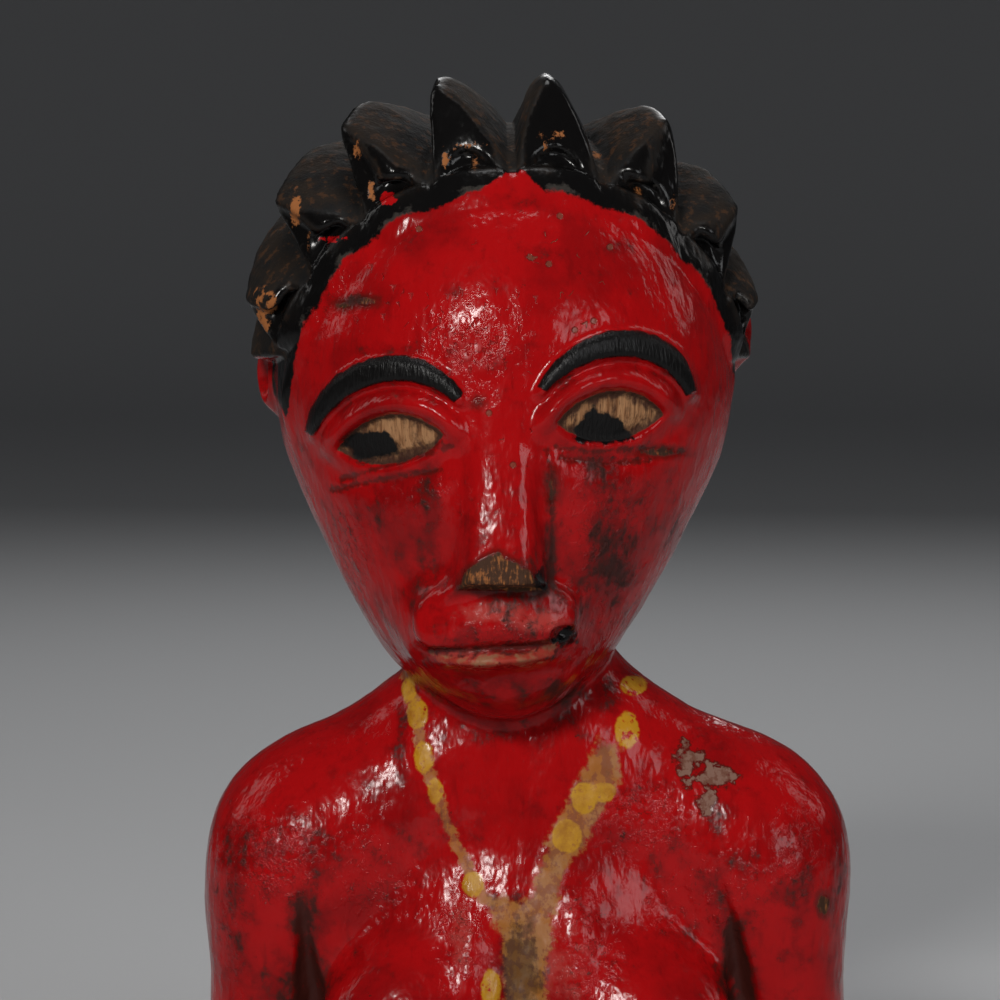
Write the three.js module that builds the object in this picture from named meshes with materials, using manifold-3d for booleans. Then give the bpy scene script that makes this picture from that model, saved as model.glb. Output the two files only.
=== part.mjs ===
// A carved and painted wooden bust: a long-faced head with a crest of combed hair, a neck, rounded
// shoulders and the upper arms and chest, cut flat below. It is one piece of wood, so it is one solid.
// Sizes are in millimetres. The face looks along -y, x grows to the viewer's right, and the flat cut
// is at z = 0. The carving is one closed surface, taken where carvedForm(x, y, z) changes sign.
import * as THREE from "three";
import { mergeVertices } from "three/addons/utils/BufferGeometryUtils.js";
import Module from "manifold-3d";

// Head: the skull's egg, the long jaw and the chin
const SKULL_X = -5.9;
const SKULL_Y = 3;
const SKULL_Z = 188;
const SKULL_HALF_WIDTH = 57;
const SKULL_HALF_DEPTH = 57;
const SKULL_HALF_HEIGHT = 60;
const JAW_Y = -10;
const JAW_Z = 155.5;
const JAW_HALF_WIDTH = 39.5;
const JAW_HALF_DEPTH = 42;
const JAW_HALF_HEIGHT = 49.5;
const CHIN_Y = -31;
const CHIN_Z = 122;
const CHIN_RADIUS = 14;
const JAW_FILLET = 14;

// Face: its middle line, and the slopes by which its features climb to the viewer's right
const FACE_X = -6.8;
const FACE_CLIMB = 0.11;
const MOUTH_CLIMB = 0.05;

// Eyes: an almond between two arcs, a rolled upper lid, a faint lower one, and a painted brow
const EYE_OUT = 26.3;
const EYE_Z = 177.7;
const EYE_TOP_RADIUS = 15.6;
const EYE_TOP_DROP = 8.7;
const EYE_LOW_RADIUS = 18.6;
const EYE_LOW_RISE = 13.3;
const EYEBALL_HEIGHT = 3;
const EYE_STEP = 1.3;
const SOCKET_HALF_WIDTH = 21.5;
const SOCKET_HALF_HEIGHT = 15;
const SOCKET_DEPTH = 3.6;
const LID_RADIUS = 18.4;
const LID_HALF_THICKNESS = 4;
const LID_HEIGHT = 3.4;
const LOW_LID_HALF_THICKNESS = 2.8;
const LOW_LID_HEIGHT = 0.7;
const BROW_RADIUS = 20.2;
const BROW_Z = 175.3;
const BROW_HALF_THICKNESS = 3.2;
const BROW_TAPER = 1.8;
const BROW_HEIGHT = 2.4;

// Nose and mouth
const NOSE_TOP_Z = 188;
const NOSE_TIP_Z = 141.8;
const NOSE_TOP_Y = -52.5;
const NOSE_TIP_Y = -63;
const NOSE_BACK_Y = -36;
const NOSE_TOP_HALF_WIDTH = 5.2;
const NOSE_TIP_HALF_WIDTH = 7.6;
const NOSE_TOP_SPLAY = 0.7;
const NOSE_TIP_SPLAY = 0.34;
const MOUTH_HALF_WIDTH = 19.5;
const MOUTH_SHIFT = 1.3;
const LIP_Y = -56.6;
const LIP_ROOT_Y = -27.4;
const UPPER_LIP_Z = 133;
const UPPER_LIP_HALF_HEIGHT = 6.6;
const LIP_ROUNDING = 5.6;
const MUZZLE_Y = -36;
const MUZZLE_HALF_WIDTH = 22.5;
const MUZZLE_HALF_DEPTH = 15.5;
const MUZZLE_HALF_HEIGHT = 16;
const LOWER_LIP_Z = 123;
const LOWER_LIP_HALF_HEIGHT = 3.2;

// Hair: crests that fan out from a crown at the back, cut steeply above the forehead
const CRESTS = 20;
const CROWN_TILT = 45;
const VALLEY_HEIGHT = 2.8;
const VALLEY_SHARE = 0.12;
const CREST_HEIGHT = 16.8;
const CREST_ROUNDING = 4;
const CREST_END_SLOPE = 0.75;
const CREST_SKEW = 0.7;
const CREST_BELLY = 3.5;
const SCOOP_DEPTH = 3.2;
const SCOOP_HALF_HEIGHT = 3.2;
const HAIRLINE_Y = -32.5;
const HAIRLINE_SWEEP = 22;
const HAIRLINE_SLANT = 12.6;
const HAIRLINE_BAND = 2.4;

// Ears
const EAR_HALF_WIDTH = 7.5;
const EAR_HALF_DEPTH = 8;
const EAR_HALF_HEIGHT = 10;
const EAR_Y = 10;
const EAR_Z = 193;

// Body
const NECK_X = -3.8;
const NECK_Y = 6;
const NECK_RADIUS = 22.5;
const NECK_FLARE = 18;
const CHEST_Z = 22;
const CHEST_TOP_Z = 96;
const CHEST_HALF_WIDTH = 58;
const CHEST_HALF_DEPTH = 34;
const SLOPE_RADIUS = 20;
const SHOULDER_OUT = 51.5;
const SHOULDER_Z = 62;
const SHOULDER_RADIUS = 27.5;
const SHOULDER_HALF_DEPTH = 26;
const SHOULDER_HALF_HEIGHT = 32;
const ARM_OUT = 67.6;
const ARM_RADIUS = 12.8;
const ARM_TOP_RADIUS = 16.5;
const ARM_DEPTH_RATIO = 1.4;
const WEB_HALF_DEPTH = 8;
const BREAST_OUT = 30;
const BREAST_Y = -24;
const BREAST_Z = 20;
const BREAST_HALF_WIDTH = 23;
const BREAST_HALF_DEPTH = 18;
const BREAST_HALF_HEIGHT = 27;

// How finely the carving is facetted, and how much more the face keeps of it than the rest
const CELL = 1.7;
const TRIANGLES = 9400;
const FACE_DETAIL = 6;
const CUT_MARGIN = 5;

const WOOD_RED = 0xa31216;

const clamp = THREE.MathUtils.clamp;
const lerp = THREE.MathUtils.lerp;

// 0 before a, 1 after b, smooth between, for a and b in either order.
function fade(a, b, t) {
  const u = clamp((t - a) / (b - a), 0, 1);
  return u * u * (3 - 2 * u);
}

// 1 where d is 0, falling smoothly to 0 at a distance w.
function swell(d, w) {
  const u = Math.max(1 - (d * d) / (w * w), 0);
  return u * u;
}

// Union of two fields with a fillet of size k.
function join(a, b, k) {
  const h = Math.max(k - Math.abs(a - b), 0) / k;
  return Math.min(a, b) - (h * h * k) / 4;
}

// What two fields share, with its edge rounded by k.
function common(a, b, k) {
  return -join(-a, -b, k);
}

function reachOf(x, y, z = 0) {
  return Math.sqrt(x * x + y * y + z * z);
}

function egg(x, y, z, rx, ry, rz) {
  const near = reachOf(x / rx, y / ry, z / rz);
  const slope = reachOf(x / (rx * rx), y / (ry * ry), z / (rz * rz));
  return (near * (near - 1)) / Math.max(slope, 1e-6);
}

function softBox(x, y, z, hx, hy, hz, r) {
  const qx = Math.abs(x) - hx + r;
  const qy = Math.abs(y) - hy + r;
  const qz = Math.abs(z) - hz + r;
  const out = reachOf(Math.max(qx, 0), Math.max(qy, 0), Math.max(qz, 0));
  return out + Math.min(Math.max(qx, qy, qz), 0) - r;
}

// A limb of round section whose radius runs from ra at (ax, az) to rb at (bx, bz), in the plane y = 0.
function limb(x, y, z, ax, az, bx, bz, ra, rb) {
  const dx = bx - ax;
  const dz = bz - az;
  const length = reachOf(dx, dz);
  const along = ((x - ax) * dx + (z - az) * dz) / length;
  const across = reachOf(((x - ax) * dz - (z - az) * dx) / length, y);
  const sine = (ra - rb) / length;
  const cosine = Math.sqrt(1 - sine * sine);
  const turned = along * cosine - across * sine;
  if (turned < 0) return reachOf(along, across) - ra;
  if (turned > length * cosine) return reachOf(along - length, across) - rb;
  return across * cosine + along * sine - ra;
}

function skull(x, y, z) {
  return egg(
    x - SKULL_X,
    y - SKULL_Y,
    z - SKULL_Z,
    SKULL_HALF_WIDTH,
    SKULL_HALF_DEPTH,
    SKULL_HALF_HEIGHT,
  );
}

function jawAndChin(x, y, z) {
  const across = x - FACE_X;
  const jaw = egg(across, y - JAW_Y, z - JAW_Z, JAW_HALF_WIDTH, JAW_HALF_DEPTH, JAW_HALF_HEIGHT);
  const chin = reachOf(across - 1.8, y - CHIN_Y, z - CHIN_Z) - CHIN_RADIUS;
  return join(jaw, chin, JAW_FILLET);
}

// Distance outside the arc that bounds the eye above, and the flatter one that bounds it below.
function eyeTop(out, z) {
  return reachOf(out - EYE_OUT + 0.4, z - EYE_Z + EYE_TOP_DROP) - EYE_TOP_RADIUS;
}

function eyeLow(out, z) {
  return reachOf(out - EYE_OUT - 1.2, z - EYE_Z - EYE_LOW_RISE) - EYE_LOW_RADIUS;
}

// How far along an arc about (cx, cz) a point is: 0 in its middle, 1 at both ends, which are half
// degrees away from it.
function alongArc(out, z, cx, cz, middle, half) {
  const angle = THREE.MathUtils.radToDeg(Math.atan2(z - cz, out - cx)) - middle;
  return Math.abs(THREE.MathUtils.euclideanModulo(angle + 180, 360) - 180) / half;
}

function socketHeight(out, z) {
  const socket = reachOf((out - EYE_OUT - 0.7) / SOCKET_HALF_WIDTH, (z - EYE_Z + 1.7) / SOCKET_HALF_HEIGHT);
  return -SOCKET_DEPTH * swell(socket, 1);
}

function browHeight(out, z) {
  const middle = EYE_OUT + 0.4;
  const off = Math.abs(reachOf(out - middle, z - BROW_Z) - BROW_RADIUS);
  const along = alongArc(out, z, middle, BROW_Z, 80, 66);
  const half = BROW_HALF_THICKNESS - BROW_TAPER * Math.min(along, 1) ** 2;
  return BROW_HEIGHT * fade(half + 1.6, half - 1.6, off) * fade(1.12, 0.98, along);
}

function lidHeight(out, z) {
  const middle = EYE_OUT - 0.4;
  const low = EYE_Z - EYE_TOP_DROP;
  const lid = reachOf(out - middle, z - low) - LID_RADIUS;
  const along = alongArc(out, z, middle, low, 88, 62);
  return LID_HEIGHT * swell(lid, LID_HALF_THICKNESS) * fade(1.25, 0.75, along);
}

function lowLidHeight(out, z) {
  const place = fade(18, 10, Math.abs(out - EYE_OUT)) * fade(2, -2, z - EYE_Z);
  return LOW_LID_HEIGHT * swell(eyeLow(out, z) - 2, LOW_LID_HALF_THICKNESS) * place;
}

// What stands proud of the face, or is sunk in it: sockets, brows, lids and eyeballs.
function faceRelief(across, z) {
  const out = Math.abs(across);
  const opening = Math.max(eyeTop(out, z), eyeLow(out, z));
  const eyeball = EYEBALL_HEIGHT * fade(6, -6, opening) - EYE_STEP * fade(1.1, -1.3, opening);
  return socketHeight(out, z) + browHeight(out, z) + lidHeight(out, z) + lowLidHeight(out, z) + eyeball;
}

// A long wedge with a flat ridge, cut off square below.
function nose(x, y, z) {
  const down = clamp((NOSE_TOP_Z - z) / (NOSE_TOP_Z - NOSE_TIP_Z), 0, 1.2);
  const front = lerp(NOSE_TOP_Y, NOSE_TIP_Y, down);
  const ridge = lerp(NOSE_TOP_HALF_WIDTH, NOSE_TIP_HALF_WIDTH, down);
  const splay = lerp(NOSE_TOP_SPLAY, NOSE_TIP_SPLAY, down);
  const side = (Math.abs(x - FACE_X) - ridge - (y - front) * splay) * 0.88;
  const under = NOSE_TIP_Z - z - (y - front) * 0.1;
  let field = common(front - y, side, 3);
  field = common(field, under, 1.2);
  field = common(field, y - NOSE_BACK_Y, 2);
  return common(field, z - NOSE_TOP_Z, 5);
}

// The upper lip is a block that stands proud of the rounder muzzle round it.
function upperLip(across, y, z) {
  const dx = across + MOUTH_SHIFT;
  const dz = z - MOUTH_CLIMB * across - UPPER_LIP_Z;
  const middle = (LIP_Y + LIP_ROOT_Y) / 2;
  const depth = (LIP_ROOT_Y - LIP_Y) / 2;
  const block = softBox(dx, y - middle, dz, MOUTH_HALF_WIDTH, depth, UPPER_LIP_HALF_HEIGHT, LIP_ROUNDING);
  const rounded = common(block, egg(dx, y + 38, dz + 3, 28, 18, 22), 2);
  const muzzle = egg(dx, y - MUZZLE_Y, dz + 1, MUZZLE_HALF_WIDTH, MUZZLE_HALF_DEPTH, MUZZLE_HALF_HEIGHT);
  return join(rounded, muzzle, 4);
}

function lowerLip(across, y, z) {
  const dz = z - MOUTH_CLIMB * across - LOWER_LIP_Z;
  return egg(across + MOUTH_SHIFT, y + 38, dz, MOUTH_HALF_WIDTH - 3.5, 18, LOWER_LIP_HALF_HEIGHT);
}

// The pit at the viewer's right end of the mouth.
function mouthCorner(across, y, z) {
  return egg(across - MOUTH_HALF_WIDTH + 4, y + 52, z - UPPER_LIP_Z + 4.2, 3.6, 6, 2.6);
}

// An ear on the side of sign side: a lobe with a hollow scooped out of it.
function ear(x, y, z, side) {
  const outwards = side * (x - SKULL_X) - SKULL_HALF_WIDTH + 2;
  const dz = z - EAR_Z - side * 5.5;
  const lobe = egg(outwards, y - EAR_Y, dz, EAR_HALF_WIDTH, EAR_HALF_DEPTH, EAR_HALF_HEIGHT);
  const hollow = egg(outwards - EAR_HALF_WIDTH, y - EAR_Y + 3, dz, 5, 4.5, 0.65 * EAR_HALF_HEIGHT);
  return common(lobe, -hollow, 1.2);
}

const CROWN_COSINE = Math.cos(THREE.MathUtils.degToRad(CROWN_TILT));
const CROWN_SINE = Math.sin(THREE.MathUtils.degToRad(CROWN_TILT));

// Where on the whorl a place is, counted in crests: they stand closer together on the viewer's left,
// and the higher they rise, the more they lean that way.
function crestPhase(turn, above) {
  const angle = THREE.MathUtils.degToRad(turn);
  const spread = -0.26 - 0.27 * Math.sin(angle) + 0.13 * Math.cos(3 * angle);
  const lean = (0.25 - 0.5 * Math.sin(angle)) * clamp(above / CREST_HEIGHT, 0, 1.2);
  return (turn * CRESTS) / 360 + spread + lean;
}

// Where along y the hair begins. It begins further back at the sides, most of all on the viewer's
// right.
function hairline(turn) {
  const aside = turn / 90;
  return HAIRLINE_Y + HAIRLINE_SWEEP * aside ** 2 + HAIRLINE_SLANT * Math.max(aside, 0);
}

// How far back y is from the front end of a crest. The end's foot follows the hairline, with a scoop
// cut just above it. Higher up the end leans back, turns to face the way the crest runs, and bulges
// on the side next to the middle of the head.
function crestEnd(y, above, base, girth, turn, acrossCrest) {
  const crestTurn = turn - (acrossCrest * 360) / CRESTS;
  const aside = Math.abs(crestTurn);
  const skew = CREST_SKEW * clamp(aside / 75, 0, 0.8) * Math.sign(crestTurn);
  const crestWidth = girth * SKULL_HALF_HEIGHT * THREE.MathUtils.degToRad(360 / CRESTS);
  const inner = -acrossCrest * Math.sign(crestTurn) - 0.2;
  const belly = CREST_BELLY * swell(inner, 0.3) * fade(8, 32, aside) * fade(1, 5, above - base);
  const scoopHeight = above - base - 0.8 + 24 * acrossCrest ** 2;
  const scoop = SCOOP_DEPTH * swell(acrossCrest, 0.45) * swell(scoopHeight, SCOOP_HALF_HEIGHT);
  const facing = hairline(crestTurn) + acrossCrest * crestWidth * skew;
  const line = lerp(hairline(turn), facing, fade(-1, 7, above - base)) - belly;
  return (line + CREST_END_SLOPE * above + scoop - y) * 0.72;
}

// The hair is the skull's surface raised by crests, with a narrow flat floor between them. They fan
// out about an axis through the skull that leans back to the crown, they are highest in front, and
// lower at the sides and the back.
function hair(x, y, z) {
  const px = x - SKULL_X;
  const py = y - SKULL_Y;
  const pz = z - SKULL_Z;
  const toCrown = py * CROWN_COSINE + pz * CROWN_SINE;
  const toBrow = pz * CROWN_COSINE - py * CROWN_SINE;
  const turn = THREE.MathUtils.radToDeg(Math.atan2(px, toBrow));
  const aside = Math.abs(turn);
  const above = skull(x, y, z);
  const phase = crestPhase(turn, above);
  const acrossCrest = phase - Math.floor(phase) - 0.5;
  const ridge = Math.max(1 - (2 * Math.abs(acrossCrest)) / (1 - VALLEY_SHARE), 0);

  const girth = Math.min(reachOf(px, toBrow) / SKULL_HALF_HEIGHT, 1);
  const rise =
    CREST_HEIGHT * girth * lerp(1, 0.45, fade(40, 68, toCrown)) * lerp(1, 0.28, fade(35, 100, aside));
  const base = lerp(VALLEY_HEIGHT, 1.5, fade(70, 95, aside));
  let field = (above - base - rise * ridge) * 0.62;
  field = common(field, above - base - rise + 1.4, CREST_ROUNDING);

  const end = crestEnd(y, above, base, girth, turn, acrossCrest);
  const band = Math.max((hairline(turn) - HAIRLINE_BAND + 1.5 * above - y) * 0.5, (above - 2.6) * 0.7);
  field = common(field, Math.min(end, band), 1.5);

  const edge = -12 + 28 * Math.exp(-(((aside - 106) / 24) ** 2));
  return common(field, edge - toCrown, 2);
}

function head(x, y, z) {
  const across = x - FACE_X;
  let field = join(skull(x, y, z), jawAndChin(x, y, z), JAW_FILLET);
  const front = fade(-18, -34, y);
  if (front > 0) field -= faceRelief(across, z - FACE_CLIMB * across) * front * 0.9;
  field = join(field, nose(x, y, z), 2.5);
  field = join(field, upperLip(across, y, z), lerp(3, 8, fade(6, -12, across)));
  field = join(field, lowerLip(across, y, z), 3);
  field = common(field, -mouthCorner(across, y, z), 1);
  field = join(field, ear(x, y, z, -1), 3);
  field = join(field, ear(x, y, z, 1), 3);
  return join(field, hair(x, y, z), 1.5);
}

function neck(x, y, z) {
  const flare = fade(120, CHEST_TOP_Z - 4, z);
  const rx = NECK_RADIUS + NECK_FLARE * flare;
  const ry = NECK_RADIUS - 0.5 + 2 * flare;
  const wall = (reachOf((x - NECK_X) / rx, (y - NECK_Y) / ry) - 1) * ry * 0.85;
  return common(common(wall, z - 150, 4), 80 - z, 10);
}

// The shoulder runs on into an arm that hangs beside the chest.
function shoulderAndArm(out, y, z) {
  const shoulder = egg(
    out - SHOULDER_OUT,
    y - 2,
    z - SHOULDER_Z,
    SHOULDER_RADIUS,
    SHOULDER_HALF_DEPTH,
    SHOULDER_HALF_HEIGHT,
  );
  const flat = y / ARM_DEPTH_RATIO;
  const upper = limb(out, flat, z, ARM_OUT - 5.6, 66, ARM_OUT, 10, ARM_TOP_RADIUS, ARM_RADIUS);
  const lower = common(reachOf(out - ARM_OUT, flat) - ARM_RADIUS, z - 12, 4);
  return join(shoulder, Math.min(upper, lower), 10);
}

function breast(out, y, z) {
  const dx = out - BREAST_OUT;
  return egg(dx, y - BREAST_Y, z - BREAST_Z, BREAST_HALF_WIDTH, BREAST_HALF_DEPTH, BREAST_HALF_HEIGHT);
}

function body(x, y, z) {
  const out = Math.abs(x);
  const chest = egg(x, y, z - CHEST_Z, CHEST_HALF_WIDTH, CHEST_HALF_DEPTH, CHEST_TOP_Z - CHEST_Z);
  const slopeEnd = SHOULDER_Z + 12.2;
  const slope = limb(out, y - 3, z, 13, CHEST_TOP_Z, SHOULDER_OUT, slopeEnd, SLOPE_RADIUS, SLOPE_RADIUS + 1);
  let trunk = join(chest, slope, 16);
  trunk = join(trunk, neck(x, y, z), 14);
  let field = join(trunk, shoulderAndArm(out, y, z), 3 + 11 * fade(48, 85, z));

  // The wood between arm and chest is left standing, as a thin web.
  const web = Math.max(Math.abs(y) - WEB_HALF_DEPTH, out - ARM_OUT, z - SHOULDER_Z);
  field = join(field, web, 3);
  return join(field, breast(out, y, z), 12);
}

// Negative inside the wood, positive outside, and close to the distance in millimetres nearby. It
// ends a little below the flat cut, which is made last.
function carvedForm(x, y, z) {
  const trunk = body(x, y, z);
  const whole = z > 80 ? join(head(x, y, z), trunk, 5) : trunk;
  return Math.max(whole, -CUT_MARGIN - z);
}

// The box that holds the carving, with room round it, and reaching below the flat cut.
function reach() {
  const hairReach = VALLEY_HEIGHT + CREST_HEIGHT + 4;
  const side = Math.max(ARM_OUT + ARM_RADIUS, SHOULDER_OUT + SHOULDER_RADIUS) + 4;
  const headSide = Math.abs(SKULL_X) + SKULL_HALF_WIDTH + hairReach;
  const half = Math.max(side, headSide);
  return new THREE.Box3(
    new THREE.Vector3(-half, -SKULL_HALF_DEPTH - 20, -CUT_MARGIN - 2 * CELL),
    new THREE.Vector3(half, SKULL_Y + SKULL_HALF_DEPTH + hairReach, SKULL_Z + SKULL_HALF_HEIGHT + hairReach),
  );
}

// The even orders of a tetrahedron's corners that start with the one corner, or two, on one side.
const ORDER_FROM_ONE = [
  [0, 1, 2, 3],
  [1, 0, 3, 2],
  [2, 0, 1, 3],
  [3, 0, 2, 1],
];
const ORDER_FROM_TWO = [
  [0, 1, 2, 3],
  [0, 2, 3, 1],
  [0, 3, 1, 2],
  [1, 2, 0, 3],
  [1, 3, 2, 0],
  [2, 3, 0, 1],
];
// A cube's corner is a sum of 1, 2 and 4, for a step along x, y and z. Six tetrahedra share its long
// diagonal, from corner 0 to corner 7, and each takes the three steps in an order of its own.
const TETRAHEDRA = [
  { corners: [0, 1, 3, 7], turn: 1 },
  { corners: [0, 2, 6, 7], turn: 1 },
  { corners: [0, 4, 5, 7], turn: 1 },
  { corners: [0, 2, 3, 7], turn: -1 },
  { corners: [0, 1, 5, 7], turn: -1 },
  { corners: [0, 4, 6, 7], turn: -1 },
];

// The field's values on a grid of nodes over box. Only blocks of cells near the surface are worked
// out node by node: elsewhere the value at the block's middle stands for the whole block.
function sampleField(field, box, cell) {
  const size = box.getSize(new THREE.Vector3());
  const counts = [size.x, size.y, size.z].map((length) => Math.ceil(length / cell) + 2);
  const strides = [1, counts[0], counts[0] * counts[1]];
  const values = new Float64Array(counts[0] * counts[1] * counts[2]);
  const block = 4;
  const blockReach = block * cell * 1.6;
  const starts = counts.map((count) => Array.from({ length: Math.ceil(count / block) }, (_, n) => n * block));
  for (const k0 of starts[2]) {
    for (const j0 of starts[1]) {
      for (const i0 of starts[0]) {
        const half = block / 2;
        const cx = box.min.x + (i0 + half) * cell;
        const cy = box.min.y + (j0 + half) * cell;
        const cz = box.min.z + (k0 + half) * cell;
        const middle = field(cx, cy, cz);
        const near = Math.abs(middle) < blockReach;
        for (let k = k0; k < Math.min(k0 + block, counts[2]); k++) {
          for (let j = j0; j < Math.min(j0 + block, counts[1]); j++) {
            for (let i = i0; i < Math.min(i0 + block, counts[0]); i++) {
              const node = i + j * strides[1] + k * strides[2];
              values[node] = near
                ? field(box.min.x + i * cell, box.min.y + j * cell, box.min.z + k * cell)
                : middle;
            }
          }
        }
      }
    }
  }
  return { values, counts, strides };
}

// Facets the surface where field(x, y, z) is zero inside box, on a grid of tetrahedra. The result is
// closed, with points as x, y, z in a row and faces as three point numbers in a row.
function facetSurface(field, box, cell) {
  const { values, counts, strides } = sampleField(field, box, cell);
  const offsets = [];
  for (let corner = 0; corner < 8; corner++) {
    offsets.push((corner & 1) + ((corner >> 1) & 1) * strides[1] + (corner >> 2) * strides[2]);
  }
  const points = [];
  const faces = [];
  const crossings = new Map();
  // The point where the surface crosses the edge between two corners of the cube at node.
  const crossing = (node, one, other) => {
    const low = Math.min(one, other);
    const step = Math.max(one, other) - low;
    const start = node + offsets[low];
    const key = start * 8 + step;
    let id = crossings.get(key);
    if (id === undefined) {
      const from = values[start];
      const share = clamp(from / (from - values[start + offsets[step]]), 0.05, 0.95);
      const i = start % strides[1];
      const j = Math.floor(start / strides[1]) % counts[1];
      const k = Math.floor(start / strides[2]);
      id = points.length / 3;
      crossings.set(key, id);
      points.push(box.min.x + (i + (step & 1) * share) * cell);
      points.push(box.min.y + (j + ((step >> 1) & 1) * share) * cell);
      points.push(box.min.z + (k + (step >> 2) * share) * cell);
    }
    return id;
  };
  const addFace = (a, b, c, turn) => (turn > 0 ? faces.push(a, b, c) : faces.push(a, c, b));

  const inside = new Array(8);
  for (let k = 0; k < counts[2] - 1; k++) {
    for (let j = 0; j < counts[1] - 1; j++) {
      for (let i = 0; i < counts[0] - 1; i++) {
        const node = i + j * strides[1] + k * strides[2];
        let within = 0;
        for (let corner = 0; corner < 8; corner++) {
          inside[corner] = values[node + offsets[corner]] < 0;
          within += inside[corner];
        }
        if (within === 0 || within === 8) continue;
        for (const { corners, turn } of TETRAHEDRA) {
          const held = corners.map((corner) => inside[corner]);
          const count = held.filter(Boolean).length;
          const cut = (order, m, n) => crossing(node, corners[order[m]], corners[order[n]]);
          if (count === 2) {
            const order = ORDER_FROM_TWO.find((o) => held[o[0]] && held[o[1]]);
            const ring = [cut(order, 0, 2), cut(order, 0, 3), cut(order, 1, 3), cut(order, 1, 2)];
            addFace(ring[0], ring[1], ring[2], turn);
            addFace(ring[0], ring[2], ring[3], turn);
          } else if (count % 4 !== 0) {
            const order = ORDER_FROM_ONE[held.indexOf(count === 1)];
            addFace(cut(order, 0, 1), cut(order, 0, 2), cut(order, 0, 3), count === 1 ? turn : -turn);
          }
        }
      }
    }
  }
  return { points, faces };
}

// Moves every point onto the surface, and returns the surface's normals there, x, y, z in a row.
function settleOnSurface(field, points) {
  const normals = new Float64Array(points.length);
  const h = 0.02;
  for (let n = 0; n < points.length; n += 3) {
    for (let pass = 0; pass < 2; pass++) {
      const [x, y, z] = [points[n], points[n + 1], points[n + 2]];
      const value = field(x, y, z);
      const gx = (field(x + h, y, z) - value) / h;
      const gy = (field(x, y + h, z) - value) / h;
      const gz = (field(x, y, z + h) - value) / h;
      const slope = Math.max(reachOf(gx, gy, gz), 0.2);
      const step = clamp(value / slope, -0.4 * CELL, 0.4 * CELL) / slope;
      if (pass === 0) {
        points[n] -= step * gx;
        points[n + 1] -= step * gy;
        points[n + 2] -= step * gz;
      }
      normals[n] = gx / slope;
      normals[n + 1] = gy / slope;
      normals[n + 2] = gz / slope;
    }
  }
  return normals;
}

// A heap of possible merges with the cheapest on top.
class MergeQueue {
  items = [];

  push(item) {
    const items = this.items;
    let at = items.length;
    items.push(item);
    while (at > 0) {
      const parent = (at - 1) >> 1;
      if (items[parent].cost <= item.cost) break;
      items[at] = items[parent];
      at = parent;
    }
    items[at] = item;
  }

  pop() {
    const items = this.items;
    const top = items[0];
    const last = items.pop();
    const total = items.length;
    if (total > 0) {
      let at = 0;
      for (;;) {
        let child = 2 * at + 1;
        if (child >= total) break;
        if (child + 1 < total && items[child + 1].cost < items[child].cost) child++;
        if (items[child].cost >= last.cost) break;
        items[at] = items[child];
        at = child;
      }
      items[at] = last;
    }
    return top;
  }
}

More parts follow.
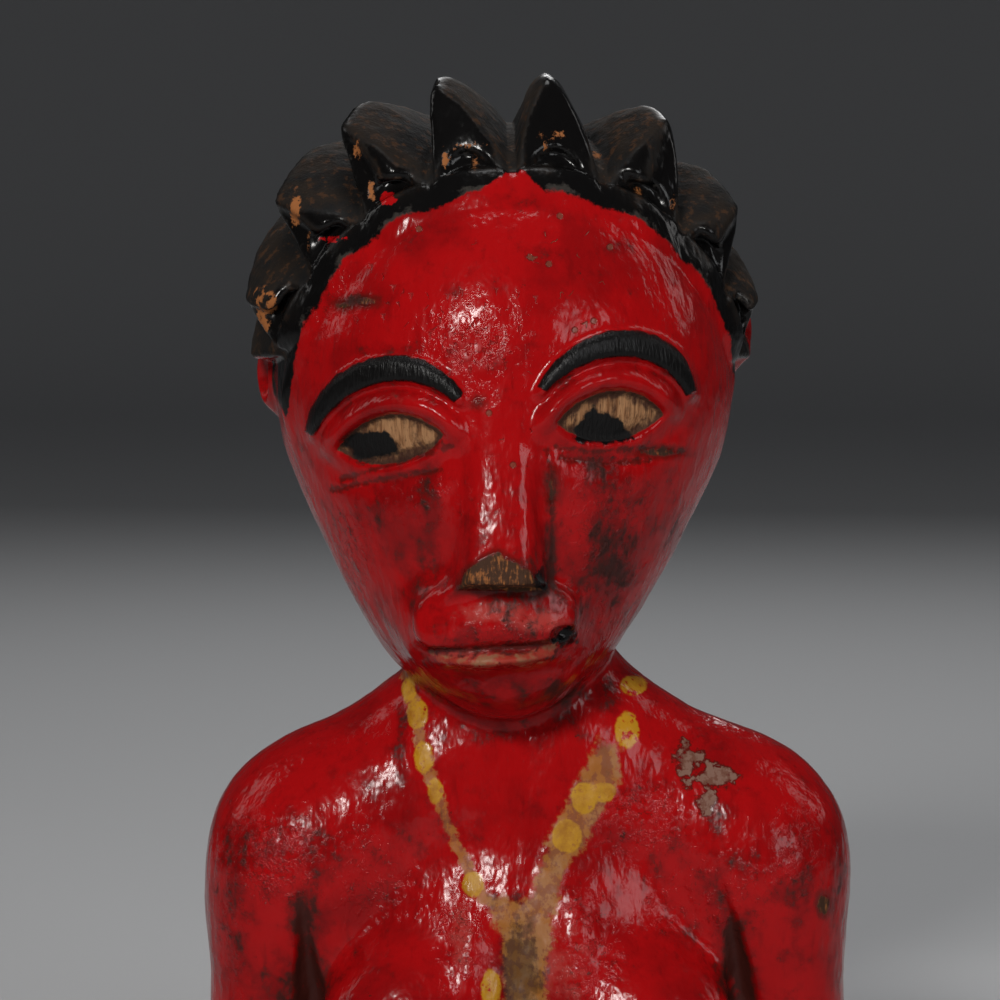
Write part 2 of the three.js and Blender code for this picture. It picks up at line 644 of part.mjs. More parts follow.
// Merges neighbouring points, each time the pair that changes the surface least, until only count
// faces are left. weightAt(x, y, z) says how much a place matters.
function simplify(points, faces, normals, count, weightAt) {
  const total = points.length / 3;
  const corners = Int32Array.from(faces);
  const around = Array.from({ length: total }, () => []);
  const alive = new Uint8Array(corners.length / 3).fill(1);
  const edits = new Int32Array(total);
  // For each point, the ten sums that give its squared distances to the planes merged into it.
  const sums = new Float64Array(10 * total);
  const before = new Float64Array(4);
  const after = new Float64Array(4);
  const place = new Float64Array(9);
  const q = new Float64Array(10);

  // Writes a face's normal and its length to out, with the points u and v moved to x, y, z.
  const measure = (out, face, u, v, x, y, z) => {
    for (let n = 0; n < 3; n++) {
      const id = corners[3 * face + n];
      const moved = id === u || id === v;
      place[3 * n] = moved ? x : points[3 * id];
      place[3 * n + 1] = moved ? y : points[3 * id + 1];
      place[3 * n + 2] = moved ? z : points[3 * id + 2];
    }
    const bx = place[3] - place[0];
    const by = place[4] - place[1];
    const bz = place[5] - place[2];
    const cx = place[6] - place[0];
    const cy = place[7] - place[1];
    const cz = place[8] - place[2];
    out[0] = by * cz - bz * cy;
    out[1] = bz * cx - bx * cz;
    out[2] = bx * cy - by * cx;
    out[3] = reachOf(out[0], out[1], out[2]);
  };

  // Each point starts with the tangent planes at the corners of its faces, so that a point beside a
  // crease knows both of the crease's sides.
  for (let face = 0; face < alive.length; face++) {
    measure(before, face, -1, -1, 0, 0, 0);
    const ids = [corners[3 * face], corners[3 * face + 1], corners[3 * face + 2]];
    for (const id of ids) {
      around[id].push(face);
      const [x, y, z] = [points[3 * id], points[3 * id + 1], points[3 * id + 2]];
      const [a, b, c] = [normals[3 * id], normals[3 * id + 1], normals[3 * id + 2]];
      const d = -(a * x + b * y + c * z);
      const weight = before[3] * weightAt(x, y, z);
      const terms = [a * a, a * b, a * c, a * d, b * b, b * c, b * d, c * c, c * d, d * d];
      for (const near of ids) {
        for (let slot = 0; slot < 10; slot++) sums[10 * near + slot] += weight * terms[slot];
      }
    }
  }

  // The best place for u and v merged, and what the merge costs.
  const merge = (u, v) => {
    for (let slot = 0; slot < 10; slot++) q[slot] = sums[10 * u + slot] + sums[10 * v + slot];
    const mx = (points[3 * u] + points[3 * v]) / 2;
    const my = (points[3 * u + 1] + points[3 * v + 1]) / 2;
    const mz = (points[3 * u + 2] + points[3 * v + 2]) / 2;
    const half = reachOf(points[3 * u] - mx, points[3 * u + 1] - my, points[3 * u + 2] - mz);
    // A faint pull to the middle keeps the best place defined where the surface is flat.
    const pull = 2e-3 * (q[0] + q[4] + q[7]) + 1e-9;
    const xx = q[0] + pull;
    const yy = q[4] + pull;
    const zz = q[7] + pull;
    const rx = pull * mx - q[3];
    const ry = pull * my - q[6];
    const rz = pull * mz - q[8];
    const cx = yy * zz - q[5] * q[5];
    const cy = q[2] * q[5] - q[1] * zz;
    const cz = q[1] * q[5] - q[2] * yy;
    const yz = q[1] * q[2] - xx * q[5];
    const scale = 1 / (xx * cx + q[1] * cy + q[2] * cz);
    let x = (rx * cx + ry * cy + rz * cz) * scale;
    let y = (rx * cy + ry * (xx * zz - q[2] * q[2]) + rz * yz) * scale;
    let z = (rx * cz + ry * yz + rz * (xx * yy - q[1] * q[1])) * scale;
    if (reachOf(x - mx, y - my, z - mz) > 1.5 * half) {
      x = mx;
      y = my;
      z = mz;
    }
    const squares = q[0] * x * x + q[4] * y * y + q[7] * z * z + q[9];
    const cross = q[1] * x * y + q[2] * x * z + q[5] * y * z + q[3] * x + q[6] * y + q[8] * z;
    const cost = Math.max(squares + 2 * cross, 0) + 1e-3 * half * half;
    return { cost, u, v, x, y, z, editsU: edits[u], editsV: edits[v] };
  };

  const neighbours = (id) => {
    const found = [];
    for (const face of around[id]) {
      for (let n = 0; n < 3; n++) {
        const other = corners[3 * face + n];
        if (other !== id && !found.includes(other)) found.push(other);
      }
    }
    return found;
  };

  const turnsOver = (from, u, v, x, y, z) => {
    for (const face of around[from]) {
      const [a, b, c] = [corners[3 * face], corners[3 * face + 1], corners[3 * face + 2]];
      const holdsBoth = (a === u || b === u || c === u) && (a === v || b === v || c === v);
      if (holdsBoth) continue;
      measure(before, face, -1, -1, 0, 0, 0);
      measure(after, face, u, v, x, y, z);
      const dot = before[0] * after[0] + before[1] * after[1] + before[2] * after[2];
      if (dot < 0.3 * before[3] * after[3] || after[3] < 1e-2) return true;
    }
    return false;
  };

  const queue = new MergeQueue();
  for (let id = 0; id < total; id++) {
    for (const other of neighbours(id)) if (id < other) queue.push(merge(id, other));
  }
  let left = alive.length;
  while (left > count && queue.items.length > 0) {
    const { u, v, x, y, z, editsU, editsV } = queue.pop();
    if (edits[u] !== editsU || edits[v] !== editsV) continue;
    const nearU = neighbours(u);
    const shared = neighbours(v).filter((id) => nearU.includes(id));
    if (shared.length !== 2) continue;
    if (turnsOver(u, u, v, x, y, z) || turnsOver(v, u, v, x, y, z)) continue;
    for (let slot = 0; slot < 10; slot++) sums[10 * u + slot] += sums[10 * v + slot];
    points[3 * u] = x;
    points[3 * u + 1] = y;
    points[3 * u + 2] = z;
    for (const face of around[v]) {
      const ids = [corners[3 * face], corners[3 * face + 1], corners[3 * face + 2]];
      if (ids.includes(u)) {
        alive[face] = 0;
        left--;
        for (const id of ids) if (id !== v) around[id].splice(around[id].indexOf(face), 1);
      } else {
        corners[3 * face + ids.indexOf(v)] = u;
        around[u].push(face);
      }
    }
    around[v] = [];
    edits[u]++;
    edits[v]++;
    for (const other of neighbours(u)) queue.push(merge(u, other));
  }
  return Array.from(corners).filter((_, n) => alive[Math.floor(n / 3)]);
}

function geometryOf(points, faces) {
  const geometry = new THREE.BufferGeometry();
  geometry.setAttribute("position", new THREE.Float32BufferAttribute(points, 3));
  geometry.setIndex(faces);
  return mergeVertices(geometry);
}

const wasm = await Module();
wasm.setup();

function solidOf(geometry) {
  return new wasm.Manifold(
    new wasm.Mesh({
      numProp: 3,
      vertProperties: new Float32Array(geometry.attributes.position.array),
      triVerts: new Uint32Array(geometry.index.array),
    }),
  );
}

// The block of wood under z = 0 that the flat cut takes away.
function underBlock(box) {
  const size = box.getSize(new THREE.Vector3());
  const geometry = new THREE.BoxGeometry(2 * size.x, 2 * size.y, 8 * CELL);
  geometry.translate(0, 0, -4 * CELL);
  geometry.deleteAttribute("normal");
  geometry.deleteAttribute("uv");
  return solidOf(mergeVertices(geometry));
}

function carvedBust() {
  const box = reach();
  const faceWeight = (x, y, z) => (z > CHIN_Z - CHIN_RADIUS && y < -34 ? FACE_DETAIL : 1);
  const { points, faces } = facetSurface(carvedForm, box, CELL);
  const normals = settleOnSurface(carvedForm, points);
  const kept = simplify(points, faces, normals, TRIANGLES, faceWeight);
  const cut = solidOf(geometryOf(points, kept)).subtract(underBlock(box)).getMesh();
  const geometry = geometryOf(Array.from(cut.vertProperties), Array.from(cut.triVerts));
  geometry.computeVertexNormals();
  const paint = new THREE.MeshStandardMaterial({ color: WOOD_RED, roughness: 0.35, metalness: 0 });
  const mesh = new THREE.Mesh(geometry, paint);
  mesh.name = "carved_bust";
  return mesh;
}

const bust = new THREE.Group();
bust.add(carvedBust());

export default bust;
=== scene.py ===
"""A carved and painted wooden bust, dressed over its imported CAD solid.

The carving repeats the solid's own formulas and named sizes, in millimetres, on a finer mesh. It
adds knife marks, grooves and the ridges of the paint. Where each paint ends is kept on the mesh, as
distances and shares, and the material draws it.
"""
import math

import bmesh
import bpy
import numpy as np
from bpy.props import FloatProperty, FloatVectorProperty, IntProperty, PointerProperty
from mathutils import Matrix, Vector


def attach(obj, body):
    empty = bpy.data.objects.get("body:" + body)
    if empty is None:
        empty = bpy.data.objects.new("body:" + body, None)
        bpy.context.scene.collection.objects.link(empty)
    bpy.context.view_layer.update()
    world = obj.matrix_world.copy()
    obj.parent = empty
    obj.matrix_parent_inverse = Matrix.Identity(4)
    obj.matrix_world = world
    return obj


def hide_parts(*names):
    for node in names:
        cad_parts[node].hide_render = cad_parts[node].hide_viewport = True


bl_info = {
    "name": "Carved and painted bust",
    "version": (1, 0, 0),
    "blender": (4, 5, 0),
    "location": "3D View > Sidebar > Bust",
    "description": "Builds a carved wooden bust with its paint, and a pale studio round it",
    "category": "Add Mesh",
}

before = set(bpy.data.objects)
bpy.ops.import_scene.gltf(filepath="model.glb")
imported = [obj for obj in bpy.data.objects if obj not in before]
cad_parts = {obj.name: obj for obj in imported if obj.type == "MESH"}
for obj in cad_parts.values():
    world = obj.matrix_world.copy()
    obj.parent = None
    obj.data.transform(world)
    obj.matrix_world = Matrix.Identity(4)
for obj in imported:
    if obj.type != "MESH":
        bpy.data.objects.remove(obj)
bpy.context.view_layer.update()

MM = 0.001  # metres

# Head
SKULL_X = -5.9
SKULL_Y = 3.0
SKULL_Z = 188.0
SKULL_HALF_WIDTH = 57.0
SKULL_HALF_DEPTH = 57.0
SKULL_HALF_HEIGHT = 60.0
JAW_Y = -10.0
JAW_Z = 155.5
JAW_HALF_WIDTH = 39.5
JAW_HALF_DEPTH = 42.0
JAW_HALF_HEIGHT = 49.5
CHIN_Y = -31.0
CHIN_Z = 122.0
CHIN_RADIUS = 14.0
CHIN_SHIFT = 1.8
JAW_FILLET = 14.0

# Face
FACE_X = -6.8
FACE_CLIMB = 0.11
FACE_BACK_Y = -18.0
FACE_FRONT_Y = -34.0
FACE_SHARE = 0.9
MOUTH_CLIMB = 0.05

# Eyes and brows
EYE_OUT = 26.3
EYE_Z = 177.7
EYE_TOP_RADIUS = 15.6
EYE_TOP_DROP = 8.7
EYE_TOP_SHIFT = 0.4
EYE_LOW_RADIUS = 18.6
EYE_LOW_RISE = 13.3
EYE_LOW_SHIFT = 1.2
EYEBALL_HEIGHT = 3.0
EYEBALL_SPREAD = 6.0
EYE_STEP = 1.3
EYE_STEP_START = 1.1
EYE_STEP_END = -1.3
SOCKET_HALF_WIDTH = 21.5
SOCKET_HALF_HEIGHT = 15.0
SOCKET_DEPTH = 3.6
SOCKET_SHIFT = 0.7
SOCKET_DROP = 1.7
LID_RADIUS = 18.4
LID_HALF_THICKNESS = 4.0
LID_HEIGHT = 3.4
LID_TURN = 88.0
LID_HALF_TURN = 62.0
LOW_LID_HALF_THICKNESS = 2.8
LOW_LID_HEIGHT = 0.7
LOW_LID_GAP = 2.0
LOW_LID_FULL = 10.0
LOW_LID_END = 18.0
BROW_RADIUS = 20.2
BROW_Z = 175.3
BROW_HALF_THICKNESS = 3.2
BROW_TAPER = 1.8
BROW_HEIGHT = 2.4
BROW_SHIFT = 0.4
BROW_TURN = 80.0
BROW_HALF_TURN = 66.0
BROW_EDGE = 1.6

# Nose and mouth
NOSE_TOP_Z = 188.0
NOSE_TIP_Z = 141.8
NOSE_TOP_Y = -52.5
NOSE_TIP_Y = -63.0
NOSE_BACK_Y = -36.0
NOSE_TOP_HALF_WIDTH = 5.2
NOSE_TIP_HALF_WIDTH = 7.6
NOSE_TOP_SPLAY = 0.7
NOSE_TIP_SPLAY = 0.34
NOSE_SIDE_SLOPE = 0.88
NOSE_UNDERCUT = 0.1
NOSE_RIDGE_ROUNDING = 3.0
NOSE_TIP_ROUNDING = 1.2
NOSE_BACK_ROUNDING = 2.0
NOSE_TOP_ROUNDING = 5.0
MOUTH_HALF_WIDTH = 19.5
MOUTH_SHIFT = 1.3
LIP_Y = -56.6
LIP_ROOT_Y = -27.4
UPPER_LIP_Z = 133.0
UPPER_LIP_HALF_HEIGHT = 6.6
LIP_ROUNDING = 5.6
LIP_EGG_Y = -38.0
LIP_EGG_DROP = 3.0
LIP_EGG_HALF_WIDTH = 28.0
LIP_EGG_HALF_DEPTH = 18.0
LIP_EGG_HALF_HEIGHT = 22.0
MUZZLE_Y = -36.0
MUZZLE_HALF_WIDTH = 22.5
MUZZLE_HALF_DEPTH = 15.5
MUZZLE_HALF_HEIGHT = 16.0
MUZZLE_DROP = 1.0
LOWER_LIP_Z = 123.0
LOWER_LIP_HALF_HEIGHT = 3.2
LOWER_LIP_HALF_WIDTH = MOUTH_HALF_WIDTH - 3.5
CORNER_IN = 4.0
CORNER_Y = -52.0
CORNER_DROP = 4.2
CORNER_HALF_WIDTH = 3.6
CORNER_HALF_DEPTH = 6.0
CORNER_HALF_HEIGHT = 2.6

# Hair
CRESTS = 20
CROWN_TILT = 45.0
CREST_START = -0.26
CREST_SWAY = 0.27
CREST_RIPPLE = 0.13
CREST_LEAN = 0.25
CREST_SIDE_LEAN = 0.5
VALLEY_HEIGHT = 2.8
SIDE_VALLEY_HEIGHT = 1.5
VALLEY_SHARE = 0.12
CREST_HEIGHT = 16.8
CREST_ROUNDING = 4.0
CREST_SLOPE = 0.62
CREST_CUT = 1.4
CREST_BACK_SHARE = 0.45
CREST_SIDE_SHARE = 0.28
CREST_END_SLOPE = 0.75
CREST_END_SHARE = 0.72
CREST_SKEW = 0.7
CREST_SKEW_TURN = 75.0
CREST_BELLY = 3.5
BELLY_PLACE = 0.2
BELLY_REACH = 0.3
SCOOP_DEPTH = 3.2
SCOOP_HALF_HEIGHT = 3.2
SCOOP_REACH = 0.45
SCOOP_RISE = 0.8
SCOOP_ARCH = 24.0
HAIRLINE_Y = -32.5
HAIRLINE_SWEEP = 22.0
HAIRLINE_SLANT = 12.6
HAIRLINE_BAND = 2.4
BAND_SLOPE = 1.5
BAND_HEIGHT = 2.6
NAPE_LOW = -12.0
NAPE_RISE = 28.0
NAPE_TURN = 106.0
NAPE_SPREAD = 24.0

# Ears
EAR_HALF_WIDTH = 7.5
EAR_HALF_DEPTH = 8.0
EAR_HALF_HEIGHT = 10.0
EAR_Y = 10.0
EAR_Z = 193.0
EAR_SINK = 2.0
EAR_STAGGER = 5.5
EAR_HOLLOW_SHIFT = 3.0
EAR_HOLLOW_HALF_WIDTH = 5.0
EAR_HOLLOW_HALF_DEPTH = 4.5
EAR_HOLLOW_SHARE = 0.65

# Body
NECK_X = -3.8
NECK_Y = 6.0
NECK_RADIUS = 22.5
NECK_FLARE = 18.0
FLARE_TOP_Z = 120.0
NECK_TOP_Z = 150.0
NECK_FOOT_Z = 80.0
CHEST_Z = 22.0
CHEST_TOP_Z = 96.0
CHEST_HALF_WIDTH = 58.0
CHEST_HALF_DEPTH = 34.0
SLOPE_RADIUS = 20.0
SLOPE_START_OUT = 13.0
SLOPE_END_RISE = 12.2
SHOULDER_OUT = 51.5
SHOULDER_Z = 62.0
SHOULDER_RADIUS = 27.5
SHOULDER_HALF_DEPTH = 26.0
SHOULDER_HALF_HEIGHT = 32.0
ARM_OUT = 67.6
ARM_RADIUS = 12.8
ARM_TOP_RADIUS = 16.5
ARM_DEPTH_RATIO = 1.4
ARM_TOP_IN = 5.6
ARM_TOP_Z = 66.0
ARM_LOW_Z = 10.0
WEB_HALF_DEPTH = 8.0
BREAST_OUT = 30.0
BREAST_Y = -24.0
BREAST_Z = 20.0
BREAST_HALF_WIDTH = 23.0
BREAST_HALF_DEPTH = 18.0
BREAST_HALF_HEIGHT = 27.0

CUT_MARGIN = 5.0
FAR = 99.0


def clamp(t, low, high):
    return np.clip(t, low, high)


def lerp(a, b, t):
    return a + (b - a) * t


def fade(a, b, t):
    """0 before a, 1 after b, smooth between, for a and b in either order."""
    u = np.clip((t - a) / (b - a), 0.0, 1.0)
    return u * u * (3.0 - 2.0 * u)


def swell(d, w):
    """1 where d is 0, falling smoothly to 0 at a distance w."""
    u = np.maximum(1.0 - (d * d) / (w * w), 0.0)
    return u * u


def join(a, b, k):
    """Union of two fields with a fillet of size k."""
    h = np.maximum(k - np.abs(a - b), 0.0) / k
    return np.minimum(a, b) - h * h * k / 4.0


def common(a, b, k):
    """What two fields share, with its edge rounded by k."""
    return -join(-a, -b, k)


def reach_of(x, y, z=0.0):
    return np.sqrt(x * x + y * y + z * z)


def egg(x, y, z, rx, ry, rz):
    near = reach_of(x / rx, y / ry, z / rz)
    slope = reach_of(x / (rx * rx), y / (ry * ry), z / (rz * rz))
    return (near * (near - 1.0)) / np.maximum(slope, 1e-6)


def soft_box(x, y, z, hx, hy, hz, r):
    qx = np.abs(x) - hx + r
    qy = np.abs(y) - hy + r
    qz = np.abs(z) - hz + r
    out = reach_of(np.maximum(qx, 0.0), np.maximum(qy, 0.0), np.maximum(qz, 0.0))
    return out + np.minimum(np.maximum(np.maximum(qx, qy), qz), 0.0) - r


def limb(x, y, z, ax, az, bx, bz, ra, rb):
    """A limb of round section in the plane y = 0, of radius ra at (ax, az) and rb at (bx, bz)."""
    dx = bx - ax
    dz = bz - az
    length = math.hypot(dx, dz)
    along = ((x - ax) * dx + (z - az) * dz) / length
    across = reach_of(((x - ax) * dz - (z - az) * dx) / length, y)
    sine = (ra - rb) / length
    cosine = math.sqrt(1.0 - sine * sine)
    turned = along * cosine - across * sine
    side = across * cosine + along * sine - ra
    side = np.where(turned < 0.0, reach_of(along, across) - ra, side)
    return np.where(turned > length * cosine, reach_of(along - length, across) - rb, side)


def skull(x, y, z):
    half_sizes = (SKULL_HALF_WIDTH, SKULL_HALF_DEPTH, SKULL_HALF_HEIGHT)
    return egg(x - SKULL_X, y - SKULL_Y, z - SKULL_Z, *half_sizes)


def jaw_and_chin(x, y, z):
    across = x - FACE_X
    jaw = egg(across, y - JAW_Y, z - JAW_Z, JAW_HALF_WIDTH, JAW_HALF_DEPTH, JAW_HALF_HEIGHT)
    chin = reach_of(across - CHIN_SHIFT, y - CHIN_Y, z - CHIN_Z) - CHIN_RADIUS
    return join(jaw, chin, JAW_FILLET)


def eye_top(out, z):
    return reach_of(out - EYE_OUT + EYE_TOP_SHIFT, z - EYE_Z + EYE_TOP_DROP) - EYE_TOP_RADIUS


def eye_low(out, z):
    return reach_of(out - EYE_OUT - EYE_LOW_SHIFT, z - EYE_Z - EYE_LOW_RISE) - EYE_LOW_RADIUS


def along_arc(out, z, cx, cz, middle, half):
    """How far along an arc about (cx, cz) a point is: 0 in its middle, 1 at both ends."""
    angle = np.degrees(np.arctan2(z - cz, out - cx)) - middle
    return np.abs((angle + 180.0) % 360.0 - 180.0) / half


def socket_height(out, z):
    across = (out - EYE_OUT - SOCKET_SHIFT) / SOCKET_HALF_WIDTH
    up = (z - EYE_Z + SOCKET_DROP) / SOCKET_HALF_HEIGHT
    return -SOCKET_DEPTH * swell(reach_of(across, up), 1.0)


def brow_height(out, z):
    middle = EYE_OUT + BROW_SHIFT
    off = np.abs(reach_of(out - middle, z - BROW_Z) - BROW_RADIUS)
    along = along_arc(out, z, middle, BROW_Z, BROW_TURN, BROW_HALF_TURN)
    half = BROW_HALF_THICKNESS - BROW_TAPER * np.minimum(along, 1.0) ** 2
    profile = fade(half + BROW_EDGE, half - BROW_EDGE, off)
    return BROW_HEIGHT * profile * fade(1.12, 0.98, along)


def lid_height(out, z):
    middle = EYE_OUT - EYE_TOP_SHIFT
    low = EYE_Z - EYE_TOP_DROP
    lid = reach_of(out - middle, z - low) - LID_RADIUS
    along = along_arc(out, z, middle, low, LID_TURN, LID_HALF_TURN)
    return LID_HEIGHT * swell(lid, LID_HALF_THICKNESS) * fade(1.25, 0.75, along)


def low_lid_height(out, z):
    place = fade(LOW_LID_END, LOW_LID_FULL, np.abs(out - EYE_OUT)) * fade(2.0, -2.0, z - EYE_Z)
    profile = swell(eye_low(out, z) - LOW_LID_GAP, LOW_LID_HALF_THICKNESS)
    return LOW_LID_HEIGHT * profile * place


def face_relief(across, z):
    """What stands proud of the face, or is sunk in it: sockets, brows, lids and eyeballs."""
    out = np.abs(across)
    opening = np.maximum(eye_top(out, z), eye_low(out, z))
    eyeball = EYEBALL_HEIGHT * fade(EYEBALL_SPREAD, -EYEBALL_SPREAD, opening)
    eyeball = eyeball - EYE_STEP * fade(EYE_STEP_START, EYE_STEP_END, opening)
    lids = lid_height(out, z) + low_lid_height(out, z)
    return socket_height(out, z) + brow_height(out, z) + lids + eyeball


def nose(x, y, z):
    """A long wedge with a flat ridge, cut off square below."""
    down = clamp((NOSE_TOP_Z - z) / (NOSE_TOP_Z - NOSE_TIP_Z), 0.0, 1.2)
    front = lerp(NOSE_TOP_Y, NOSE_TIP_Y, down)
    ridge = lerp(NOSE_TOP_HALF_WIDTH, NOSE_TIP_HALF_WIDTH, down)
    splay = lerp(NOSE_TOP_SPLAY, NOSE_TIP_SPLAY, down)
    side = (np.abs(x - FACE_X) - ridge - (y - front) * splay) * NOSE_SIDE_SLOPE
    under = NOSE_TIP_Z - z - (y - front) * NOSE_UNDERCUT
    field = common(front - y, side, NOSE_RIDGE_ROUNDING)
    field = common(field, under, NOSE_TIP_ROUNDING)
    field = common(field, y - NOSE_BACK_Y, NOSE_BACK_ROUNDING)
    return common(field, z - NOSE_TOP_Z, NOSE_TOP_ROUNDING)


def upper_lip(across, y, z):
    """The upper lip is a block that stands proud of the rounder muzzle round it."""
    dx = across + MOUTH_SHIFT
    dz = z - MOUTH_CLIMB * across - UPPER_LIP_Z
    middle = (LIP_Y + LIP_ROOT_Y) / 2.0
    depth = (LIP_ROOT_Y - LIP_Y) / 2.0
    height = UPPER_LIP_HALF_HEIGHT
    block = soft_box(dx, y - middle, dz, MOUTH_HALF_WIDTH, depth, height, LIP_ROUNDING)
    bulge = egg(
        dx,
        y - LIP_EGG_Y,
        dz + LIP_EGG_DROP,
        LIP_EGG_HALF_WIDTH,
        LIP_EGG_HALF_DEPTH,
        LIP_EGG_HALF_HEIGHT,
    )
    muzzle = egg(
        dx,
        y - MUZZLE_Y,
        dz + MUZZLE_DROP,
        MUZZLE_HALF_WIDTH,
        MUZZLE_HALF_DEPTH,
        MUZZLE_HALF_HEIGHT,
    )
    return join(common(block, bulge, 2.0), muzzle, 4.0)


def lower_lip(across, y, z):
    dx = across + MOUTH_SHIFT
    dz = z - MOUTH_CLIMB * across - LOWER_LIP_Z
    width = LOWER_LIP_HALF_WIDTH
    return egg(dx, y - LIP_EGG_Y, dz, width, LIP_EGG_HALF_DEPTH, LOWER_LIP_HALF_HEIGHT)


def mouth_corner(across, y, z):
    """The pit at the viewer's right end of the mouth."""
    dx = across - MOUTH_HALF_WIDTH + CORNER_IN
    dz = z - UPPER_LIP_Z + CORNER_DROP
    return egg(dx, y - CORNER_Y, dz, CORNER_HALF_WIDTH, CORNER_HALF_DEPTH, CORNER_HALF_HEIGHT)


def ear(x, y, z, side):
    """An ear on the side of sign side: a lobe with a hollow scooped out of it."""
    outwards = side * (x - SKULL_X) - SKULL_HALF_WIDTH + EAR_SINK
    dy = y - EAR_Y
    dz = z - EAR_Z - side * EAR_STAGGER
    lobe = egg(outwards, dy, dz, EAR_HALF_WIDTH, EAR_HALF_DEPTH, EAR_HALF_HEIGHT)
    hollow = egg(
        outwards - EAR_HALF_WIDTH,
        dy + EAR_HOLLOW_SHIFT,
        dz,
        EAR_HOLLOW_HALF_WIDTH,
        EAR_HOLLOW_HALF_DEPTH,
        EAR_HOLLOW_SHARE * EAR_HALF_HEIGHT,
    )
    return common(lobe, -hollow, 1.2)


def around_crown(x, y, z):
    """How far a place is towards the crown and out from the crown's axis, and its turn about it."""
    tilt = math.radians(CROWN_TILT)
    px = x - SKULL_X
    py = y - SKULL_Y
    pz = z - SKULL_Z
    to_crown = py * math.cos(tilt) + pz * math.sin(tilt)
    to_brow = pz * math.cos(tilt) - py * math.sin(tilt)
    turn = np.degrees(np.arctan2(px, to_brow))
    return to_crown, reach_of(px, to_brow), turn


def crest_phase(turn, above):
    """Where on the whorl a place is, counted in crests."""
    angle = np.radians(turn)
    spread = CREST_START - CREST_SWAY * np.sin(angle) + CREST_RIPPLE * np.cos(3.0 * angle)
    lean = CREST_LEAN - CREST_SIDE_LEAN * np.sin(angle)
    return (turn * CRESTS) / 360.0 + spread + lean * clamp(above / CREST_HEIGHT, 0.0, 1.2)


def hairline(turn):
    """Where along y the hair begins: further back at the sides, and most on the viewer's right."""
    aside = turn / 90.0
    return HAIRLINE_Y + HAIRLINE_SWEEP * aside**2 + HAIRLINE_SLANT * np.maximum(aside, 0.0)


def crest_end(y, above, base, girth, turn, across_crest):
    """How far back y is from the front end of a crest, whose foot follows the hairline."""
    crest_turn = turn - (across_crest * 360.0) / CRESTS
    aside = np.abs(crest_turn)
    skew = CREST_SKEW * clamp(aside / CREST_SKEW_TURN, 0.0, 0.8) * np.sign(crest_turn)
    crest_width = girth * SKULL_HALF_HEIGHT * math.radians(360.0 / CRESTS)
    inner = -across_crest * np.sign(crest_turn) - BELLY_PLACE
    belly = CREST_BELLY * swell(inner, BELLY_REACH) * fade(8.0, 32.0, aside)
    belly = belly * fade(1.0, 5.0, above - base)
    scoop_height = above - base - SCOOP_RISE + SCOOP_ARCH * across_crest**2
    scoop = SCOOP_DEPTH * swell(across_crest, SCOOP_REACH) * swell(scoop_height, SCOOP_HALF_HEIGHT)
    facing = hairline(crest_turn) + across_crest * crest_width * skew
    line = lerp(hairline(turn), facing, fade(-1.0, 7.0, above - base)) - belly
    return (line + CREST_END_SLOPE * above + scoop - y) * CREST_END_SHARE


def hair_nape(turn):
    """How far towards the crown the hair's lower edge lies."""
    return NAPE_LOW + NAPE_RISE * np.exp(-(((np.abs(turn) - NAPE_TURN) / NAPE_SPREAD) ** 2))


def crest_place(x, y, z):
    """Turn about the crown, height above the skull, and place across a crest, -0.5 to 0.5."""
    _, _, turn = around_crown(x, y, z)
    above = skull(x, y, z)
    phase = crest_phase(turn, above)
    return turn, above, phase - np.floor(phase) - 0.5


def hair(x, y, z):
    """The skull's surface raised by crests that fan out about the crown's axis."""
    to_crown, axis_reach, _ = around_crown(x, y, z)
    turn, above, across_crest = crest_place(x, y, z)
    aside = np.abs(turn)
    ridge = np.maximum(1.0 - (2.0 * np.abs(across_crest)) / (1.0 - VALLEY_SHARE), 0.0)

    girth = np.minimum(axis_reach / SKULL_HALF_HEIGHT, 1.0)
    behind = lerp(1.0, CREST_BACK_SHARE, fade(40.0, 68.0, to_crown))
    beside = lerp(1.0, CREST_SIDE_SHARE, fade(35.0, 100.0, aside))
    rise = CREST_HEIGHT * girth * behind * beside
    base = lerp(VALLEY_HEIGHT, SIDE_VALLEY_HEIGHT, fade(70.0, 95.0, aside))
    field = (above - base - rise * ridge) * CREST_SLOPE
    field = common(field, above - base - rise + CREST_CUT, CREST_ROUNDING)

    end = crest_end(y, above, base, girth, turn, across_crest)
    band_line = hairline(turn) - HAIRLINE_BAND
    band = np.maximum((band_line + BAND_SLOPE * above - y) * 0.5, (above - BAND_HEIGHT) * 0.7)
    field = common(field, np.minimum(end, band), 1.5)
    return common(field, hair_nape(turn) - to_crown, 2.0)


def head(x, y, z):
    across = x - FACE_X
    field = join(skull(x, y, z), jaw_and_chin(x, y, z), JAW_FILLET)
    in_face = fade(FACE_BACK_Y, FACE_FRONT_Y, y)
    field = field - face_relief(across, z - FACE_CLIMB * across) * in_face * FACE_SHARE
    field = join(field, nose(x, y, z), 2.5)
    field = join(field, upper_lip(across, y, z), lerp(3.0, 8.0, fade(6.0, -12.0, across)))
    field = join(field, lower_lip(across, y, z), 3.0)
    field = common(field, -mouth_corner(across, y, z), 1.0)
    field = join(field, ear(x, y, z, -1.0), 3.0)
    field = join(field, ear(x, y, z, 1.0), 3.0)
    return join(field, hair(x, y, z), 1.5)


def neck(x, y, z):
    flare = fade(FLARE_TOP_Z, CHEST_TOP_Z - 4.0, z)
    rx = NECK_RADIUS + NECK_FLARE * flare
    ry = NECK_RADIUS - 0.5 + 2.0 * flare
    wall = (reach_of((x - NECK_X) / rx, (y - NECK_Y) / ry) - 1.0) * ry * 0.85
    return common(common(wall, z - NECK_TOP_Z, 4.0), NECK_FOOT_Z - z, 10.0)


